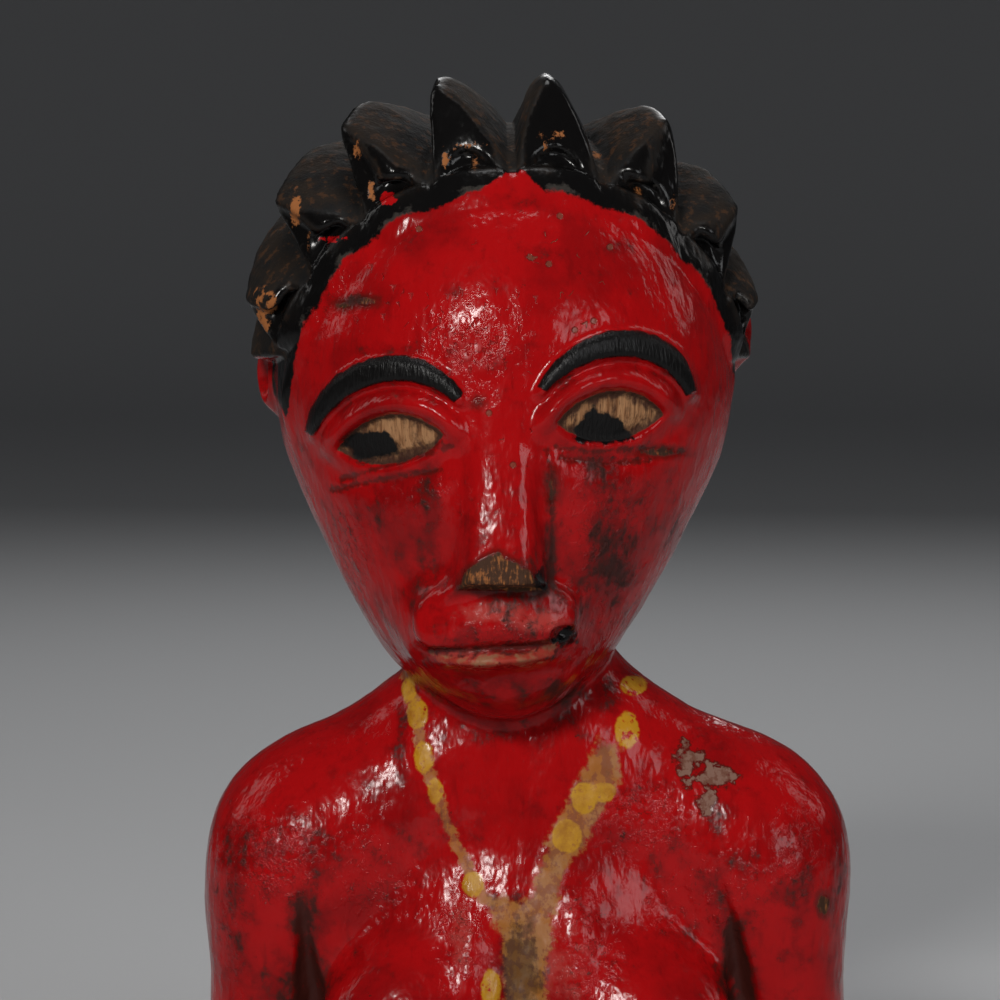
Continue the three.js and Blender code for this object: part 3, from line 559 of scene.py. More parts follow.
def shoulder_and_arm(out, y, z):
    """The shoulder runs on into an arm that hangs beside the chest."""
    shoulder = egg(
        out - SHOULDER_OUT,
        y - 2.0,
        z - SHOULDER_Z,
        SHOULDER_RADIUS,
        SHOULDER_HALF_DEPTH,
        SHOULDER_HALF_HEIGHT,
    )
    flat = y / ARM_DEPTH_RATIO
    top_out = ARM_OUT - ARM_TOP_IN
    radii = (ARM_TOP_RADIUS, ARM_RADIUS)
    upper = limb(out, flat, z, top_out, ARM_TOP_Z, ARM_OUT, ARM_LOW_Z, *radii)
    lower = common(reach_of(out - ARM_OUT, flat) - ARM_RADIUS, z - ARM_LOW_Z - 2.0, 4.0)
    return join(shoulder, np.minimum(upper, lower), 10.0)


def breast(out, y, z):
    half_sizes = (BREAST_HALF_WIDTH, BREAST_HALF_DEPTH, BREAST_HALF_HEIGHT)
    return egg(out - BREAST_OUT, y - BREAST_Y, z - BREAST_Z, *half_sizes)


def trunk(x, y, z):
    out = np.abs(x)
    chest = egg(x, y, z - CHEST_Z, CHEST_HALF_WIDTH, CHEST_HALF_DEPTH, CHEST_TOP_Z - CHEST_Z)
    slope_end = SHOULDER_Z + SLOPE_END_RISE
    radii = (SLOPE_RADIUS, SLOPE_RADIUS + 1.0)
    slope = limb(out, y - 3.0, z, SLOPE_START_OUT, CHEST_TOP_Z, SHOULDER_OUT, slope_end, *radii)
    middle = join(chest, slope, 16.0)
    middle = join(middle, neck(x, y, z), 14.0)
    field = join(middle, shoulder_and_arm(out, y, z), 3.0 + 11.0 * fade(48.0, 85.0, z))
    web = np.maximum(np.maximum(np.abs(y) - WEB_HALF_DEPTH, out - ARM_OUT), z - SHOULDER_Z)
    field = join(field, web, 3.0)
    return join(field, breast(out, y, z), 12.0)


def carved_form(points):
    """Negative inside the wood, positive outside, close to the distance in millimetres nearby."""
    x, y, z = points[:, 0], points[:, 1], points[:, 2]
    whole = trunk(x, y, z)
    high = z > NECK_FOOT_Z
    whole[high] = join(head(x[high], y[high], z[high]), whole[high], 5.0)
    return np.maximum(whole, -CUT_MARGIN - z)


def in_parts(field, points, part=400000):
    """The field's values at many points, worked out a part at a time."""
    starts = range(0, len(points), part)
    return np.concatenate([field(points[start : start + part]) for start in starts])


def steepness(field, points, step=0.05):
    """The field's values and its slopes along x, y and z."""
    values = in_parts(field, points)
    slopes = np.empty_like(points)
    for axis in range(3):
        moved = points.copy()
        moved[:, axis] += step
        slopes[:, axis] = (in_parts(field, moved) - values) / step
    return values, slopes


def sample_field(field, low, high, cell, block=4):
    """The field on a grid of nodes. Blocks far from the surface take their middle's value."""
    blocks = np.ceil((high - low) / (cell * block)).astype(int) + 1
    grid = np.stack(np.meshgrid(*[np.arange(n) for n in blocks], indexing="ij"), axis=-1)
    grid = grid.reshape(-1, 3)
    middles = low + (grid + 0.5) * (cell * block)
    middle_values = in_parts(field, middles)
    values = np.repeat(middle_values, block**3).reshape(-1, block, block, block)
    near = np.abs(middle_values) < block * cell * 1.5
    steps = np.stack(np.meshgrid(*[np.arange(block)] * 3, indexing="ij"), axis=-1).reshape(1, -1, 3)
    nodes = (grid[near][:, None, :] * block + steps).reshape(-1, 3)
    values[near] = in_parts(field, low + nodes * cell).reshape(-1, block, block, block)
    values = values.reshape(*blocks, block, block, block).transpose(0, 3, 1, 4, 2, 5)
    return values.reshape(*(blocks * block))


def shifted(values, offset, size):
    """The values from a corner of each cell, at that offset from the cell's first corner."""
    return values[tuple(slice(start, start + length) for start, length in zip(offset, size))]


def facet_surface(values, low, cell):
    """A closed net of four-sided faces on the surface where the gridded values change sign."""
    size = tuple(n - 1 for n in values.shape)
    inside = values < 0.0
    corners = [(i, j, k) for i in (0, 1) for j in (0, 1) for k in (0, 1)]
    count = sum(shifted(inside, corner, size).astype(np.int8) for corner in corners)
    cells = np.argwhere((count > 0) & (count < 8))
    numbers = np.full(size, -1, np.int64)
    numbers[tuple(cells.T)] = np.arange(len(cells))

    total = np.zeros((len(cells), 3))
    crossings = np.zeros(len(cells))
    faces = []
    for axis in range(3):
        unit = np.eye(3, dtype=int)[axis]
        others = [n for n in range(3) if n != axis]
        for one in (0, 1):
            for two in (0, 1):
                offset = np.zeros(3, int)
                offset[others[0]] = one
                offset[others[1]] = two
                start = values[tuple((cells + offset).T)]
                end = values[tuple((cells + offset + unit).T)]
                crosses = (start < 0.0) != (end < 0.0)
                share = start[crosses] / (start[crosses] - end[crosses])
                total[crosses] += offset + share[:, None] * unit
                crossings[crosses] += 1.0
        ahead = [slice(0, -1) if n == axis else slice(1, -1) for n in range(3)]
        beyond = [slice(1, None) if n == axis else slice(1, -1) for n in range(3)]
        leaving = inside[tuple(ahead)] != inside[tuple(beyond)]
        edges = np.argwhere(leaving) + np.array([0 if n == axis else 1 for n in range(3)])
        back_one = np.eye(3, dtype=int)[others[0]]
        back_two = np.eye(3, dtype=int)[others[1]]
        around = [edges - back_one - back_two, edges - back_two, edges, edges - back_one]
        quads = np.stack([numbers[tuple(place.T)] for place in around], axis=1)
        flips = inside[tuple(edges.T)] == (axis == 1)
        quads[flips] = quads[flips][:, ::-1]
        faces.append(quads)
    points = low + (cells + total / crossings[:, None]) * cell
    return points, np.concatenate(faces)


def settle_on_surface(field, points, cell):
    """Moves every point onto the surface, and returns the surface's normals there."""
    for _ in range(2):
        values, slopes = steepness(field, points)
        steep = np.maximum(np.linalg.norm(slopes, axis=1), 0.2)
        step = clamp(values / steep, -0.5 * cell, 0.5 * cell) / steep
        points = points - step[:, None] * slopes
    _, slopes = steepness(field, points)
    return points, slopes / np.maximum(np.linalg.norm(slopes, axis=1), 1e-6)[:, None]


# Large odd numbers that scatter whole-numbered places
HASH_FACTORS = (73856093, 19349663, 83492791, 2654435)
HASH_MIXER = 1274126177


def lattice_values(nodes, seed):
    """A repeatable number from 0 to 1 for each whole-numbered place."""
    along_x, along_y, along_z, seeding = HASH_FACTORS
    mixed = nodes[..., 0] * along_x ^ nodes[..., 1] * along_y ^ nodes[..., 2] * along_z
    mixed = mixed ^ seed * seeding
    mixed = (mixed ^ (mixed >> 13)) * HASH_MIXER
    mixed = mixed ^ (mixed >> 16)
    return (mixed & 0xFFFF) / 65535.0


def soft_noise(points, size, seed):
    """Smooth noise from -1 to 1, in lumps of that size: a number, or one for each axis."""
    scaled = points / np.asarray(size, float)
    start = np.floor(scaled).astype(np.int64)
    share = scaled - start
    share = share * share * (3.0 - 2.0 * share)
    total = np.zeros(len(points))
    for i in (0, 1):
        for j in (0, 1):
            for k in (0, 1):
                corner = lattice_values(start + np.array([i, j, k]), seed)
                weight = np.abs(1 - np.array([i, j, k]) - share).prod(axis=1)
                total += corner * weight
    return 2.0 * total - 1.0


def knife_cuts(points, size, seed):
    """The squared distance to the nearest of many scattered hollows' middles, 0 to 1."""
    scaled = points / np.asarray(size, float)
    start = np.floor(scaled).astype(np.int64)
    nearest = np.full(len(points), 9.0)
    for i in (-1, 0, 1):
        for j in (-1, 0, 1):
            for k in (-1, 0, 1):
                node = start + np.array([i, j, k])
                scatter = [lattice_values(node, seed + n) for n in range(3)]
                middle = node + np.stack(scatter, axis=-1)
                nearest = np.minimum(nearest, ((scaled - middle) ** 2).sum(axis=-1))
    return np.minimum(nearest, 1.0)


def face_place(points):
    """The face's own coordinates: out from its middle line, and the climbing height."""
    across = points[:, 0] - FACE_X
    return np.abs(across), points[:, 2] - FACE_CLIMB * across


def on_front(points, values):
    """Keeps distances on the front of the head and body, and makes them far everywhere behind."""
    return np.where(points[:, 1] < FRONT_Y, values, FAR)


# The photograph's frame, 1000 pixels each way, and the camera that saw it
FRAME_SIDE = 1000
FRAME_SPAN = 250.0
CAMERA_REACH = 1250.0
CAMERA_RISE = 5.0
LOOK_X = -6.9
LOOK_Z = 157.0
PIXEL = FRAME_SPAN / FRAME_SIDE

# Where along y the front ends, for marks of the trunk and for marks of the face
FRONT_Y = -12.0
FACE_MARKS_Y = -20.0

# Painted and worn places of the front, in that frame's pixels. Spots: middle and half sizes
BEADS = (
    (409, 690, 7, 13),
    (417, 714, 11, 15),
    (424, 757, 10, 16),
    (435, 791, 8, 13),
    (473, 884, 11, 13),
    (491, 988, 10, 19),
    (634, 685, 13, 10),
    (627, 730, 12, 18),
    (604, 792, 12, 10),
    (584, 798, 13, 16),
    (567, 836, 15, 17),
)
BARE_PLACES = (
    (478, 402, 5, 4),
    (366, 302, 9, 4),
    (345, 306, 6, 3),
    (552, 487, 4, 12),
    (824, 904, 6, 9),
    (660, 452, 18, 4),
)
CHIPS = (
    (686, 764, 6, 18),
    (690, 757, 12, 6),
    (717, 777, 15, 8),
    (707, 803, 9, 12),
)
HAIR_WEAR = (
    (266, 300, 12, 16),
    (262, 322, 8, 14),
    (296, 206, 5, 16),
    (308, 246, 4, 12),
    (357, 148, 4, 14),
    (462, 146, 16, 4),
    (474, 160, 4, 8),
    (446, 158, 4, 8),
    (553, 134, 12, 4),
    (544, 146, 4, 10),
    (596, 152, 5, 8),
    (640, 186, 4, 7),
    (706, 212, 4, 14),
    (672, 200, 4, 10),
    (749, 284, 4, 12),
    (372, 190, 6, 9),
)
RED_IN_HAIR = ((388, 198, 8, 6), (328, 239, 13, 2))

# Stains, painted shade and painted highlights: middle, half sizes, and strength at the middle
# Stains, and painted shade in the arm grooves, by the nose's right side and beside the upper lip
GRIME_AND_SHADE_PLACES = (
    (612, 560, 26, 58, 1.0),
    (585, 470, 34, 22, 0.6),
    (612, 500, 24, 34, 0.7),
    (660, 520, 30, 40, 0.4),
    (590, 610, 22, 30, 0.6),
    (400, 520, 46, 40, 0.5),
    (500, 590, 150, 90, 0.30),
    (545, 690, 50, 14, 0.8),
    (430, 650, 30, 30, 0.3),
    (551, 560, 8, 44, 0.9),
    (500, 545, 30, 12, 0.4),
    (420, 585, 26, 40, 0.5),
    (524, 965, 22, 60, 1.0),
    (520, 900, 34, 12, 0.4),
    (300, 860, 60, 30, 0.4),
    (240, 850, 20, 40, 0.5),
    (240, 960, 18, 60, 0.4),
    (612, 694, 14, 22, 0.8),
    (402, 745, 6, 50, 0.8),
    (690, 640, 20, 20, 0.4),
    (350, 300, 22, 8, 0.8),
    (390, 352, 60, 7, 0.5),
    (300, 470, 10, 30, 0.4),
    (620, 250, 14, 10, 0.4),
    (520, 205, 30, 12, 0.4),
    (720, 830, 20, 50, 0.4),
    (800, 890, 30, 20, 0.4),
    (302, 930, 20, 60, 0.55),
    (228, 900, 14, 90, 0.4),
    (838, 880, 14, 90, 0.4),
    (298, 995, 32, 50, 0.7),
    (722, 890, 20, 34, 0.5),
    (738, 960, 20, 60, 0.6),
    (480, 690, 60, 18, 0.45),
    (428, 500, 14, 60, 0.7),
)
# Chalky rubbed paint, and painted highlights on the upper lids, the lips, the chest and the jaw
CHALK_AND_SHEEN_PLACES = (
    (490, 612, 46, 13, 1.1),
    (540, 622, 30, 12, 1.0),
    (600, 800, 36, 20, 0.2),
    (460, 930, 16, 40, 0.7),
    (545, 890, 16, 30, 1.2),
    (560, 960, 40, 50, 0.7),
    (400, 395, 50, 14, 0.3),
    (610, 372, 50, 12, 0.3),
    (330, 570, 20, 60, 0.5),
    (385, 640, 30, 30, 0.45),
    (470, 656, 50, 7, 1.0),
)
SCUFFED_PLACES = (
    (270, 860, 60, 50, 1.0),
    (235, 920, 20, 80, 0.9),
    (360, 700, 60, 40, 0.5),
    (370, 880, 50, 60, 0.6),
    (460, 940, 26, 50, 0.8),
    (590, 950, 34, 60, 0.8),
    (640, 820, 50, 40, 0.9),
    (720, 900, 80, 50, 0.6),
    (800, 860, 30, 60, 0.8),
    (350, 560, 26, 60, 0.9),
    (420, 500, 50, 30, 0.6),
    (610, 540, 50, 90, 0.9),
    (520, 640, 70, 30, 0.8),
    (470, 350, 60, 50, 0.5),
    (330, 300, 40, 30, 0.6),
)

# Outlines
LEFT_PUPIL = (
    (352, 450),
    (340, 442),
    (354, 433),
    (372, 430),
    (388, 433),
    (401, 448),
    (399, 453),
    (376, 458),
    (355, 462),
)
RIGHT_PUPIL = (
    (594, 402),
    (599, 412),
    (609, 413),
    (618, 417),
    (634, 438),
    (604, 445),
    (574, 441),
    (571, 428),
    (583, 420),
)
NOSE_WEAR = ((457, 590), (464, 573), (480, 560), (497, 552), (514, 561), (530, 570), (546, 592))
# Black painted shade on the nose's lower right side and in the pit at the mouth's corner
NOSE_SHADE = ((532, 574), (546, 564), (548, 593), (534, 590))
MOUTH_CORNER_SHADE = ((548, 641), (562, 630), (576, 622), (577, 642), (562, 646))
LOWER_LIP = (
    (430, 651),
    (470, 657),
    (520, 653),
    (558, 641),
    (556, 656),
    (530, 666),
    (470, 668),
    (438, 662),
)
SMEARS = (
    (
        (600, 738),
        (616, 752),
        (618, 782),
        (600, 812),
        (582, 850),
        (566, 866),
        (556, 912),
        (528, 912),
        (540, 860),
        (566, 800),
    ),
    ((480, 890), (520, 902), (550, 892), (552, 920), (544, 1030), (510, 1030), (502, 940)),
)
SIDEBURNS = (
    ((256, 316), (306, 300), (294, 360), (287, 417), (274, 392)),
    ((733, 306), (754, 296), (748, 350), (737, 394), (732, 356)),
)

# Lines: the left strand of the necklace, and dark strokes, some cut or worn, some painted shade
LEFT_STRAND = (
    (406, 676),
    (416, 716),
    (424, 756),
    (436, 792),
    (451, 832),
    (468, 868),
    (484, 898),
    (512, 918),
)
STRAND_HALF_WIDTH = 6
# The stroke down the nose's right side and the mouth's line are painted shade
CUT_AND_SHADE_LINES = (
    ((341, 479), (380, 467), (420, 455), (452, 446)),
    ((358, 463), (400, 453), (441, 444)),
    ((332, 490), (390, 478), (440, 470)),
    ((556, 446), (590, 452), (640, 448), (684, 452)),
    ((560, 458), (610, 464), (650, 460)),
    ((549, 448), (553, 500), (552, 560)),
    ((430, 650), (483, 650), (523, 647), (556, 640)),
)
CUT_HALF_WIDTH = 1.3

# Lines: the grooves between arms and trunk. Their half width and depth grow on the way down
ARM_GROOVES = (
    ((297, 866), (304, 920), (310, 1000), (314, 1130)),
    ((714, 860), (730, 920), (743, 1000), (748, 1130)),
)
GROOVE_NARROW = 6.0
GROOVE_WIDE = 17.0
GROOVE_TOP = 850.0
GROOVE_FULL = 1000.0
GROOVE_DEPTH = 3.4

# Spots: what the sternum is carved with
STERNUM_RIDGES = ((470, 960, 26, 70), (578, 950, 30, 80))
STERNUM_RIDGE_HEIGHT = 1.9
STERNUM_HOLLOW = (520, 980, 30, 90)
STERNUM_HOLLOW_DEPTH = 2.2

# Points: small chisel marks and borer holes
CHISEL_MARKS = (
    (371, 268),
    (393, 289),
    (411, 297),
    (447, 298),
    (462, 294),
    (496, 292),
    (449, 354),
    (462, 338),
    (484, 352),
    (497, 340),
    (440, 322),
    (476, 322),
    (520, 330),
    (383, 318),
    (536, 300),
    (430, 336),
    (505, 366),
    (470, 372),
)
BORER_HOLES = (
    (530, 257),
    (549, 264),
    (419, 229),
    (489, 413),
    (594, 321),
    (513, 465),
    (610, 247),
    (560, 216),
    (575, 330),
)

# The paint of hair and brows, the ears kept clear of it, and the red peak in the middle of the brow
HAIR_PAINT_MARGIN = 0.6
HAIR_PEAK = 4.2
HAIR_PEAK_TURN = 2.0
HAIR_PEAK_SPREAD = 8.0
SIDEBURN_BACK_Y = 8.0
EAR_BORDER = 0.8
HAIR_LIP_HEIGHT = 1.5
HAIR_LIP_SHIFT = 1.6
HAIR_LIP_SLOPE = 0.75
HAIR_LIP_REACH = 3.4
BROW_PAINT_RISE = 0.3
BROW_PAINT_HALF_THICKNESS = 3.0
BROW_PAINT_TAPER = 1.7
BROW_PAINT_HALF_TURN = 64.0

# The necklace: in front of and above this is the chin, and round the nape the beads are regular
CHIN_BACK_Y = -28.0
CHIN_FOOT_Z = 104.0
NAPE_BEADS_Z = 96.0
NAPE_BEADS_RISE = 14.0
NAPE_BEADS_HALF_TURN = 90.0
BEAD_TURN = 22.5
BEAD_RADIUS = 3.1
BEAD_STRETCH = 1.35


def in_frame(points):
    """Where the photograph's frame shows each place, in its pixels from the top left corner."""
    rise = math.radians(CAMERA_RISE)
    x = points[:, 0] - LOOK_X
    y = points[:, 1]
    z = points[:, 2] - LOOK_Z
    depth = CAMERA_REACH + y * math.cos(rise) - z * math.sin(rise)
    height = y * math.sin(rise) + z * math.cos(rise)
    pixels = FRAME_SIDE / FRAME_SPAN * CAMERA_REACH / depth
    return FRAME_SIDE / 2 + x * pixels, FRAME_SIDE / 2 - height * pixels


def spot_distance(px, py, spot):
    """Millimetres outside a rounded spot of the frame, negative in it."""
    cx, cy, rx, ry = spot
    return (reach_of((px - cx) / rx, (py - cy) / ry) - 1.0) * min(rx, ry) * PIXEL


def spots_distance(px, py, spots):
    return np.min([spot_distance(px, py, spot) for spot in spots], axis=0)


def in_spot(px, py, spot, edge=1.0):
    """1 in the middle of a spot, falling smoothly to 0 at edge times its half sizes."""
    cx, cy, rx, ry = spot
    return swell(reach_of((px - cx) / rx, (py - cy) / ry), edge)


def stains(px, py, places):
    """How strong the strongest of several soft stains is at each place."""
    return np.max([strength * in_spot(px, py, spot, 1.6) for *spot, strength in places], axis=0)


def arm_grooves(px, py):
    """How deep the grooves between arms and trunk are at each place, 0 to 1."""
    away = np.min([line_distance(px, py, groove) for groove in ARM_GROOVES], axis=0)
    down = fade(GROOVE_TOP, GROOVE_FULL, py)
    return swell(away / lerp(GROOVE_NARROW, GROOVE_WIDE, down), 1.0) * down


def outline_distance(px, py, outline):
    """Millimetres outside a closed outline of the frame, negative in it."""
    corners = np.array(outline, float)
    following = np.roll(corners, -1, axis=0)
    inside = np.zeros(len(px), bool)
    for (ax, ay), (bx, by) in zip(corners, following):
        if ay != by:
            inside ^= ((ay > py) != (by > py)) & (px < ax + (bx - ax) * (py - ay) / (by - ay))
    away = line_distance(px, py, np.vstack([corners, corners[:1]])) * PIXEL
    return np.where(inside, -away, away)


def from_nearest(px, py, places):
    """Millimetres right of and below the nearest of many points of the frame."""
    nearest = np.full(len(px), 1e6)
    right = np.full(len(px), FAR)
    below = np.full(len(px), FAR)
    for cx, cy in places:
        away = reach_of(px - cx, py - cy)
        closer = away < nearest
        nearest[closer] = away[closer]
        right[closer] = (px - cx)[closer] * PIXEL
        below[closer] = (py - cy)[closer] * PIXEL
    return right, below


def line_distance(px, py, line):
    """Pixels from a line of joined points."""
    nearest = np.full(len(px), 1e6)
    for (ax, ay), (bx, by) in zip(line, line[1:]):
        dx = bx - ax
        dy = by - ay
        share = clamp(((px - ax) * dx + (py - ay) * dy) / (dx * dx + dy * dy), 0.0, 1.0)
        nearest = np.minimum(nearest, reach_of(px - ax - share * dx, py - ay - share * dy))
    return nearest


def brow_distance(points):
    """Millimetres outside the painted brows."""
    out, z = face_place(points)
    middle = EYE_OUT + BROW_SHIFT
    off = np.abs(reach_of(out - middle, z - BROW_Z) - BROW_RADIUS - BROW_PAINT_RISE)
    along = along_arc(out, z, middle, BROW_Z, BROW_TURN, BROW_PAINT_HALF_TURN)
    half = BROW_PAINT_HALF_THICKNESS - BROW_PAINT_TAPER * np.minimum(along, 1.0) ** 2
    past_end = (along - 1.0) * math.radians(BROW_PAINT_HALF_TURN) * BROW_RADIUS
    return np.where(points[:, 1] < FACE_MARKS_Y, np.maximum(off - half, past_end), FAR)


def eye_distance(points):
    """Millimetres outside the bare wood of the eyes."""
    out, z = face_place(points)
    return np.where(points[:, 1] < FACE_MARKS_Y, np.maximum(eye_top(out, z), eye_low(out, z)), FAR)


def hair_distance(points):
    """Millimetres outside the black of the hair, which also covers a strip of the forehead."""
    x, y, z = points.T
    to_crown, _, turn = around_crown(x, y, z)
    peak = HAIR_PEAK * swell(turn - HAIR_PEAK_TURN, HAIR_PEAK_SPREAD)
    line = hairline(clamp(turn, -90.0, 90.0)) - HAIRLINE_BAND - HAIR_PAINT_MARGIN + peak
    strip = (line - y) * 0.8
    raised = in_parts(lambda part: hair(*part.T), points) - 0.5
    above_nape = np.maximum(np.minimum(strip, raised), hair_nape(turn) - to_crown)

    px, py = in_frame(points)
    sideburn = np.min([outline_distance(px, py, outline) for outline in SIDEBURNS], axis=0)
    beside = (y < SIDEBURN_BACK_Y) & (np.abs(x - SKULL_X) < SKULL_HALF_WIDTH + 1.0)
    sideburn = np.where(beside, sideburn, FAR)
    ears = np.minimum(ear(x, y, z, -1.0), ear(x, y, z, 1.0))
    off_ears = np.minimum(EAR_BORDER - ears, raised + 0.2)
    return np.maximum(np.minimum(above_nape, sideburn), off_ears)


def hair_lip(points):
    """1 on the middle of the rounded lip that runs along the feet of the front crests."""
    y = points[:, 1]
    turn, above, across_crest = crest_place(*points.T)
    off = y - hairline(turn) + HAIR_LIP_SHIFT - HAIR_LIP_SLOPE * clamp(above, 0.0, 3.0)
    fuller = 0.45 + 0.55 * swell(across_crest, 0.5)
    in_front = fade(95.0, 75.0, np.abs(turn)) * fade(5.0, 3.0, above)
    return swell(off, HAIR_LIP_REACH) * fuller * in_front


def hair_dust(points, normals):
    """1 in the valleys and on the crests' sides that turn to the middle of the head, else 0."""
    turn, above, across_crest = crest_place(*points.T)
    inner = -across_crest * np.sign(turn)
    behind = points[:, 1] - hairline(clamp(turn, -90.0, 90.0))
    valley = fade(0.30, 0.42, np.abs(across_crest)) * fade(12.0, 6.0, above)
    valley = valley * fade(0.5, 3.0, behind)
    flank = fade(0.0, 0.1, inner) * fade(2.0, 6.0, above) * fade(-0.85, -0.6, normals[:, 1])
    return np.maximum(flank, valley)


def hollowness(points, normals, reach):
    """0 on open surfaces, towards 1 in creases about as wide as reach."""
    room = in_parts(carved_form, points + normals * reach)
    return clamp(1.0 - room / (0.9 * reach), 0.0, 1.0)


def sharpness(points, normals, reach):
    """0 on broad surfaces, towards 1 on edges that are sharp on the scale of reach."""
    cover = -in_parts(carved_form, points - normals * reach)
    return clamp(1.0 - cover / (0.9 * reach), 0.0, 1.0)


def necklace_behind(points):
    """Millimetres outside the beads that run on round the nape."""
    x, y, z = points[:, 0] - NECK_X, points[:, 1] - NECK_Y, points[:, 2]
    turn = np.degrees(np.arctan2(x, y))
    height = NAPE_BEADS_Z + NAPE_BEADS_RISE * fade(20.0, 85.0, np.abs(turn))
    along = (turn / BEAD_TURN - np.floor(turn / BEAD_TURN) - 0.5) * BEAD_TURN
    gap = reach_of(np.radians(along) * reach_of(x, y) / BEAD_STRETCH, z - height) - BEAD_RADIUS
    return np.where(np.abs(turn) < NAPE_BEADS_HALF_TURN, gap, FAR)


def necklace_distances(points, px, py):
    """Millimetres outside the beads, and outside the strand they are painted on."""
    before_nape = points[:, 1] < NECK_Y + 2.0
    beads = np.where(before_nape, spots_distance(px, py, BEADS), FAR)
    strand = (line_distance(px, py, LEFT_STRAND) - STRAND_HALF_WIDTH) * PIXEL
    strand = np.where(before_nape, strand, FAR)
    round_nape = necklace_behind(points)
    chin = np.where((points[:, 1] < CHIN_BACK_Y) & (points[:, 2] > CHIN_FOOT_Z), FAR, 0.0)
    return np.minimum(beads, round_nape) + chin, np.minimum(strand, round_nape + 1.0) + chin


def paint_layers(points, normals):
    """What the material needs to know at each point of the mesh, by name."""
    px, py = in_frame(points)
    front = fade(0.05, -0.2, normals[:, 1]) * fade(-4.0, -14.0, points[:, 1])
    hair_gap = hair_distance(points)
    bead_gap, strand_gap = necklace_distances(points, px, py)
    # Dark strokes: cuts, and painted shade by the nose and along the mouth
    cuts = np.min([line_distance(px, py, line) for line in CUT_AND_SHADE_LINES], axis=0)
    # Black: the pupils, and painted shade at the nose and in the mouth's corner
    black = (LEFT_PUPIL, RIGHT_PUPIL, NOSE_SHADE, MOUTH_CORNER_SHADE)
    black_spots = np.min([outline_distance(px, py, outline) for outline in black], axis=0)
    bare = np.minimum(spots_distance(px, py, BARE_PLACES), outline_distance(px, py, NOSE_WEAR))
    smears = np.min([outline_distance(px, py, outline) for outline in SMEARS], axis=0)
    mark_right, mark_below = from_nearest(px, py, CHISEL_MARKS)
    hole_right, hole_below = from_nearest(px, py, BORER_HOLES)
    hair_wear = np.where(hair_gap < 0.0, spots_distance(px, py, HAIR_WEAR), FAR)
    broad_hollows = 0.8 * hollowness(points, normals, 9.0)
    off_lip = 1.0 - clamp(3.0 * hair_lip(points), 0.0, 1.0)
    return {
        "hair_gap": hair_gap,
        "brow_gap": brow_distance(points),
        "eye_gap": eye_distance(points),
        "pupil_and_shade_gap": on_front(points, black_spots),
        "cut_and_shade_gap": on_front(points, (cuts - CUT_HALF_WIDTH) * PIXEL),
        "bead_gap": bead_gap,
        "strand_gap": strand_gap,
        "smear_gap": on_front(points, smears),
        "bare_gap": on_front(points, bare),
        "lip_gap": on_front(points, outline_distance(px, py, LOWER_LIP)),
        "chip_gap": on_front(points, spots_distance(px, py, CHIPS)),
        "mark_right": on_front(points, mark_right),
        "mark_below": on_front(points, mark_below),
        "hole_right": on_front(points, hole_right),
        "hole_below": on_front(points, hole_below),
        "wear_gap": hair_wear + 9.0 * (1.0 - front),
        "red_gap": np.where(front > 0.5, spots_distance(px, py, RED_IN_HAIR), FAR),
        # Stains, and painted shade in grooves, by the nose and beside the upper lip
        "grime_and_shade": stains(px, py, GRIME_AND_SHADE_PLACES) * front,
        # Chalky rubbing, and painted highlights
        "pale": stains(px, py, CHALK_AND_SHEEN_PLACES) * front,
        "scuffs": stains(px, py, SCUFFED_PLACES) * front,
        "dust": hair_dust(points, normals) * fade(0.5, -1.0, hair_gap),
        # Creases and hollows: the paint is darker in them as painted shade
        "hollow": np.maximum(hollowness(points, normals, 3.0), broad_hollows),
        "sharp": sharpness(points, normals, 1.6) * off_lip,
    }


def tool_marks(points, layers, skin, body):
    """Facets and cuts of the knife, and the unevenness of wood and paint."""
    features = np.minimum(np.minimum(layers["eye_gap"], layers["brow_gap"]), 4.0)
    plain = skin * fade(-1.0, 3.0, features)
    height = 0.3 * soft_noise(points, 13.0, 3) * skin
    height += 0.1 * soft_noise(points, 5.0, 4)
    height += 0.26 * knife_cuts(points, (7.0, 7.0, 11.0), 11) * plain * (1.0 - 0.4 * body)
    height += 0.40 * knife_cuts(points, (6.0, 6.0, 9.0), 31) * (1.0 - skin)
    height += 0.06 * soft_noise(points, (1.8, 1.8, 3.2), 5)
    height += 0.16 * soft_noise(points, (2.2, 9.0, 9.0), 6) * layers["dust"]
    height -= 0.4 * fade(0.6, -0.5, layers["cut_and_shade_gap"])
    return height


def paint_edges(points, layers, body):
    """The thickness of paint at its edges, and the roughness of worn and chipped places."""
    rough = soft_noise(points, 2.4, 7)
    worn = np.minimum(layers["bare_gap"], layers["chip_gap"])
    strand = np.minimum(layers["strand_gap"], layers["smear_gap"])
    height = 0.16 * rough * layers["scuffs"]
    height += 0.16 * fade(0.8, 0.0, layers["hair_gap"])
    height += 0.12 * fade(0.4, -0.4, layers["brow_gap"])
    height += 0.18 * fade(0.5, -0.7, layers["bead_gap"])
    height += (0.2 * rough - 0.2) * fade(0.6, -0.4, worn)
    height += (0.25 * rough + 0.1) * fade(0.8, -0.6, strand)
    height += 0.25 * rough * layers["pale"] * body
    return height


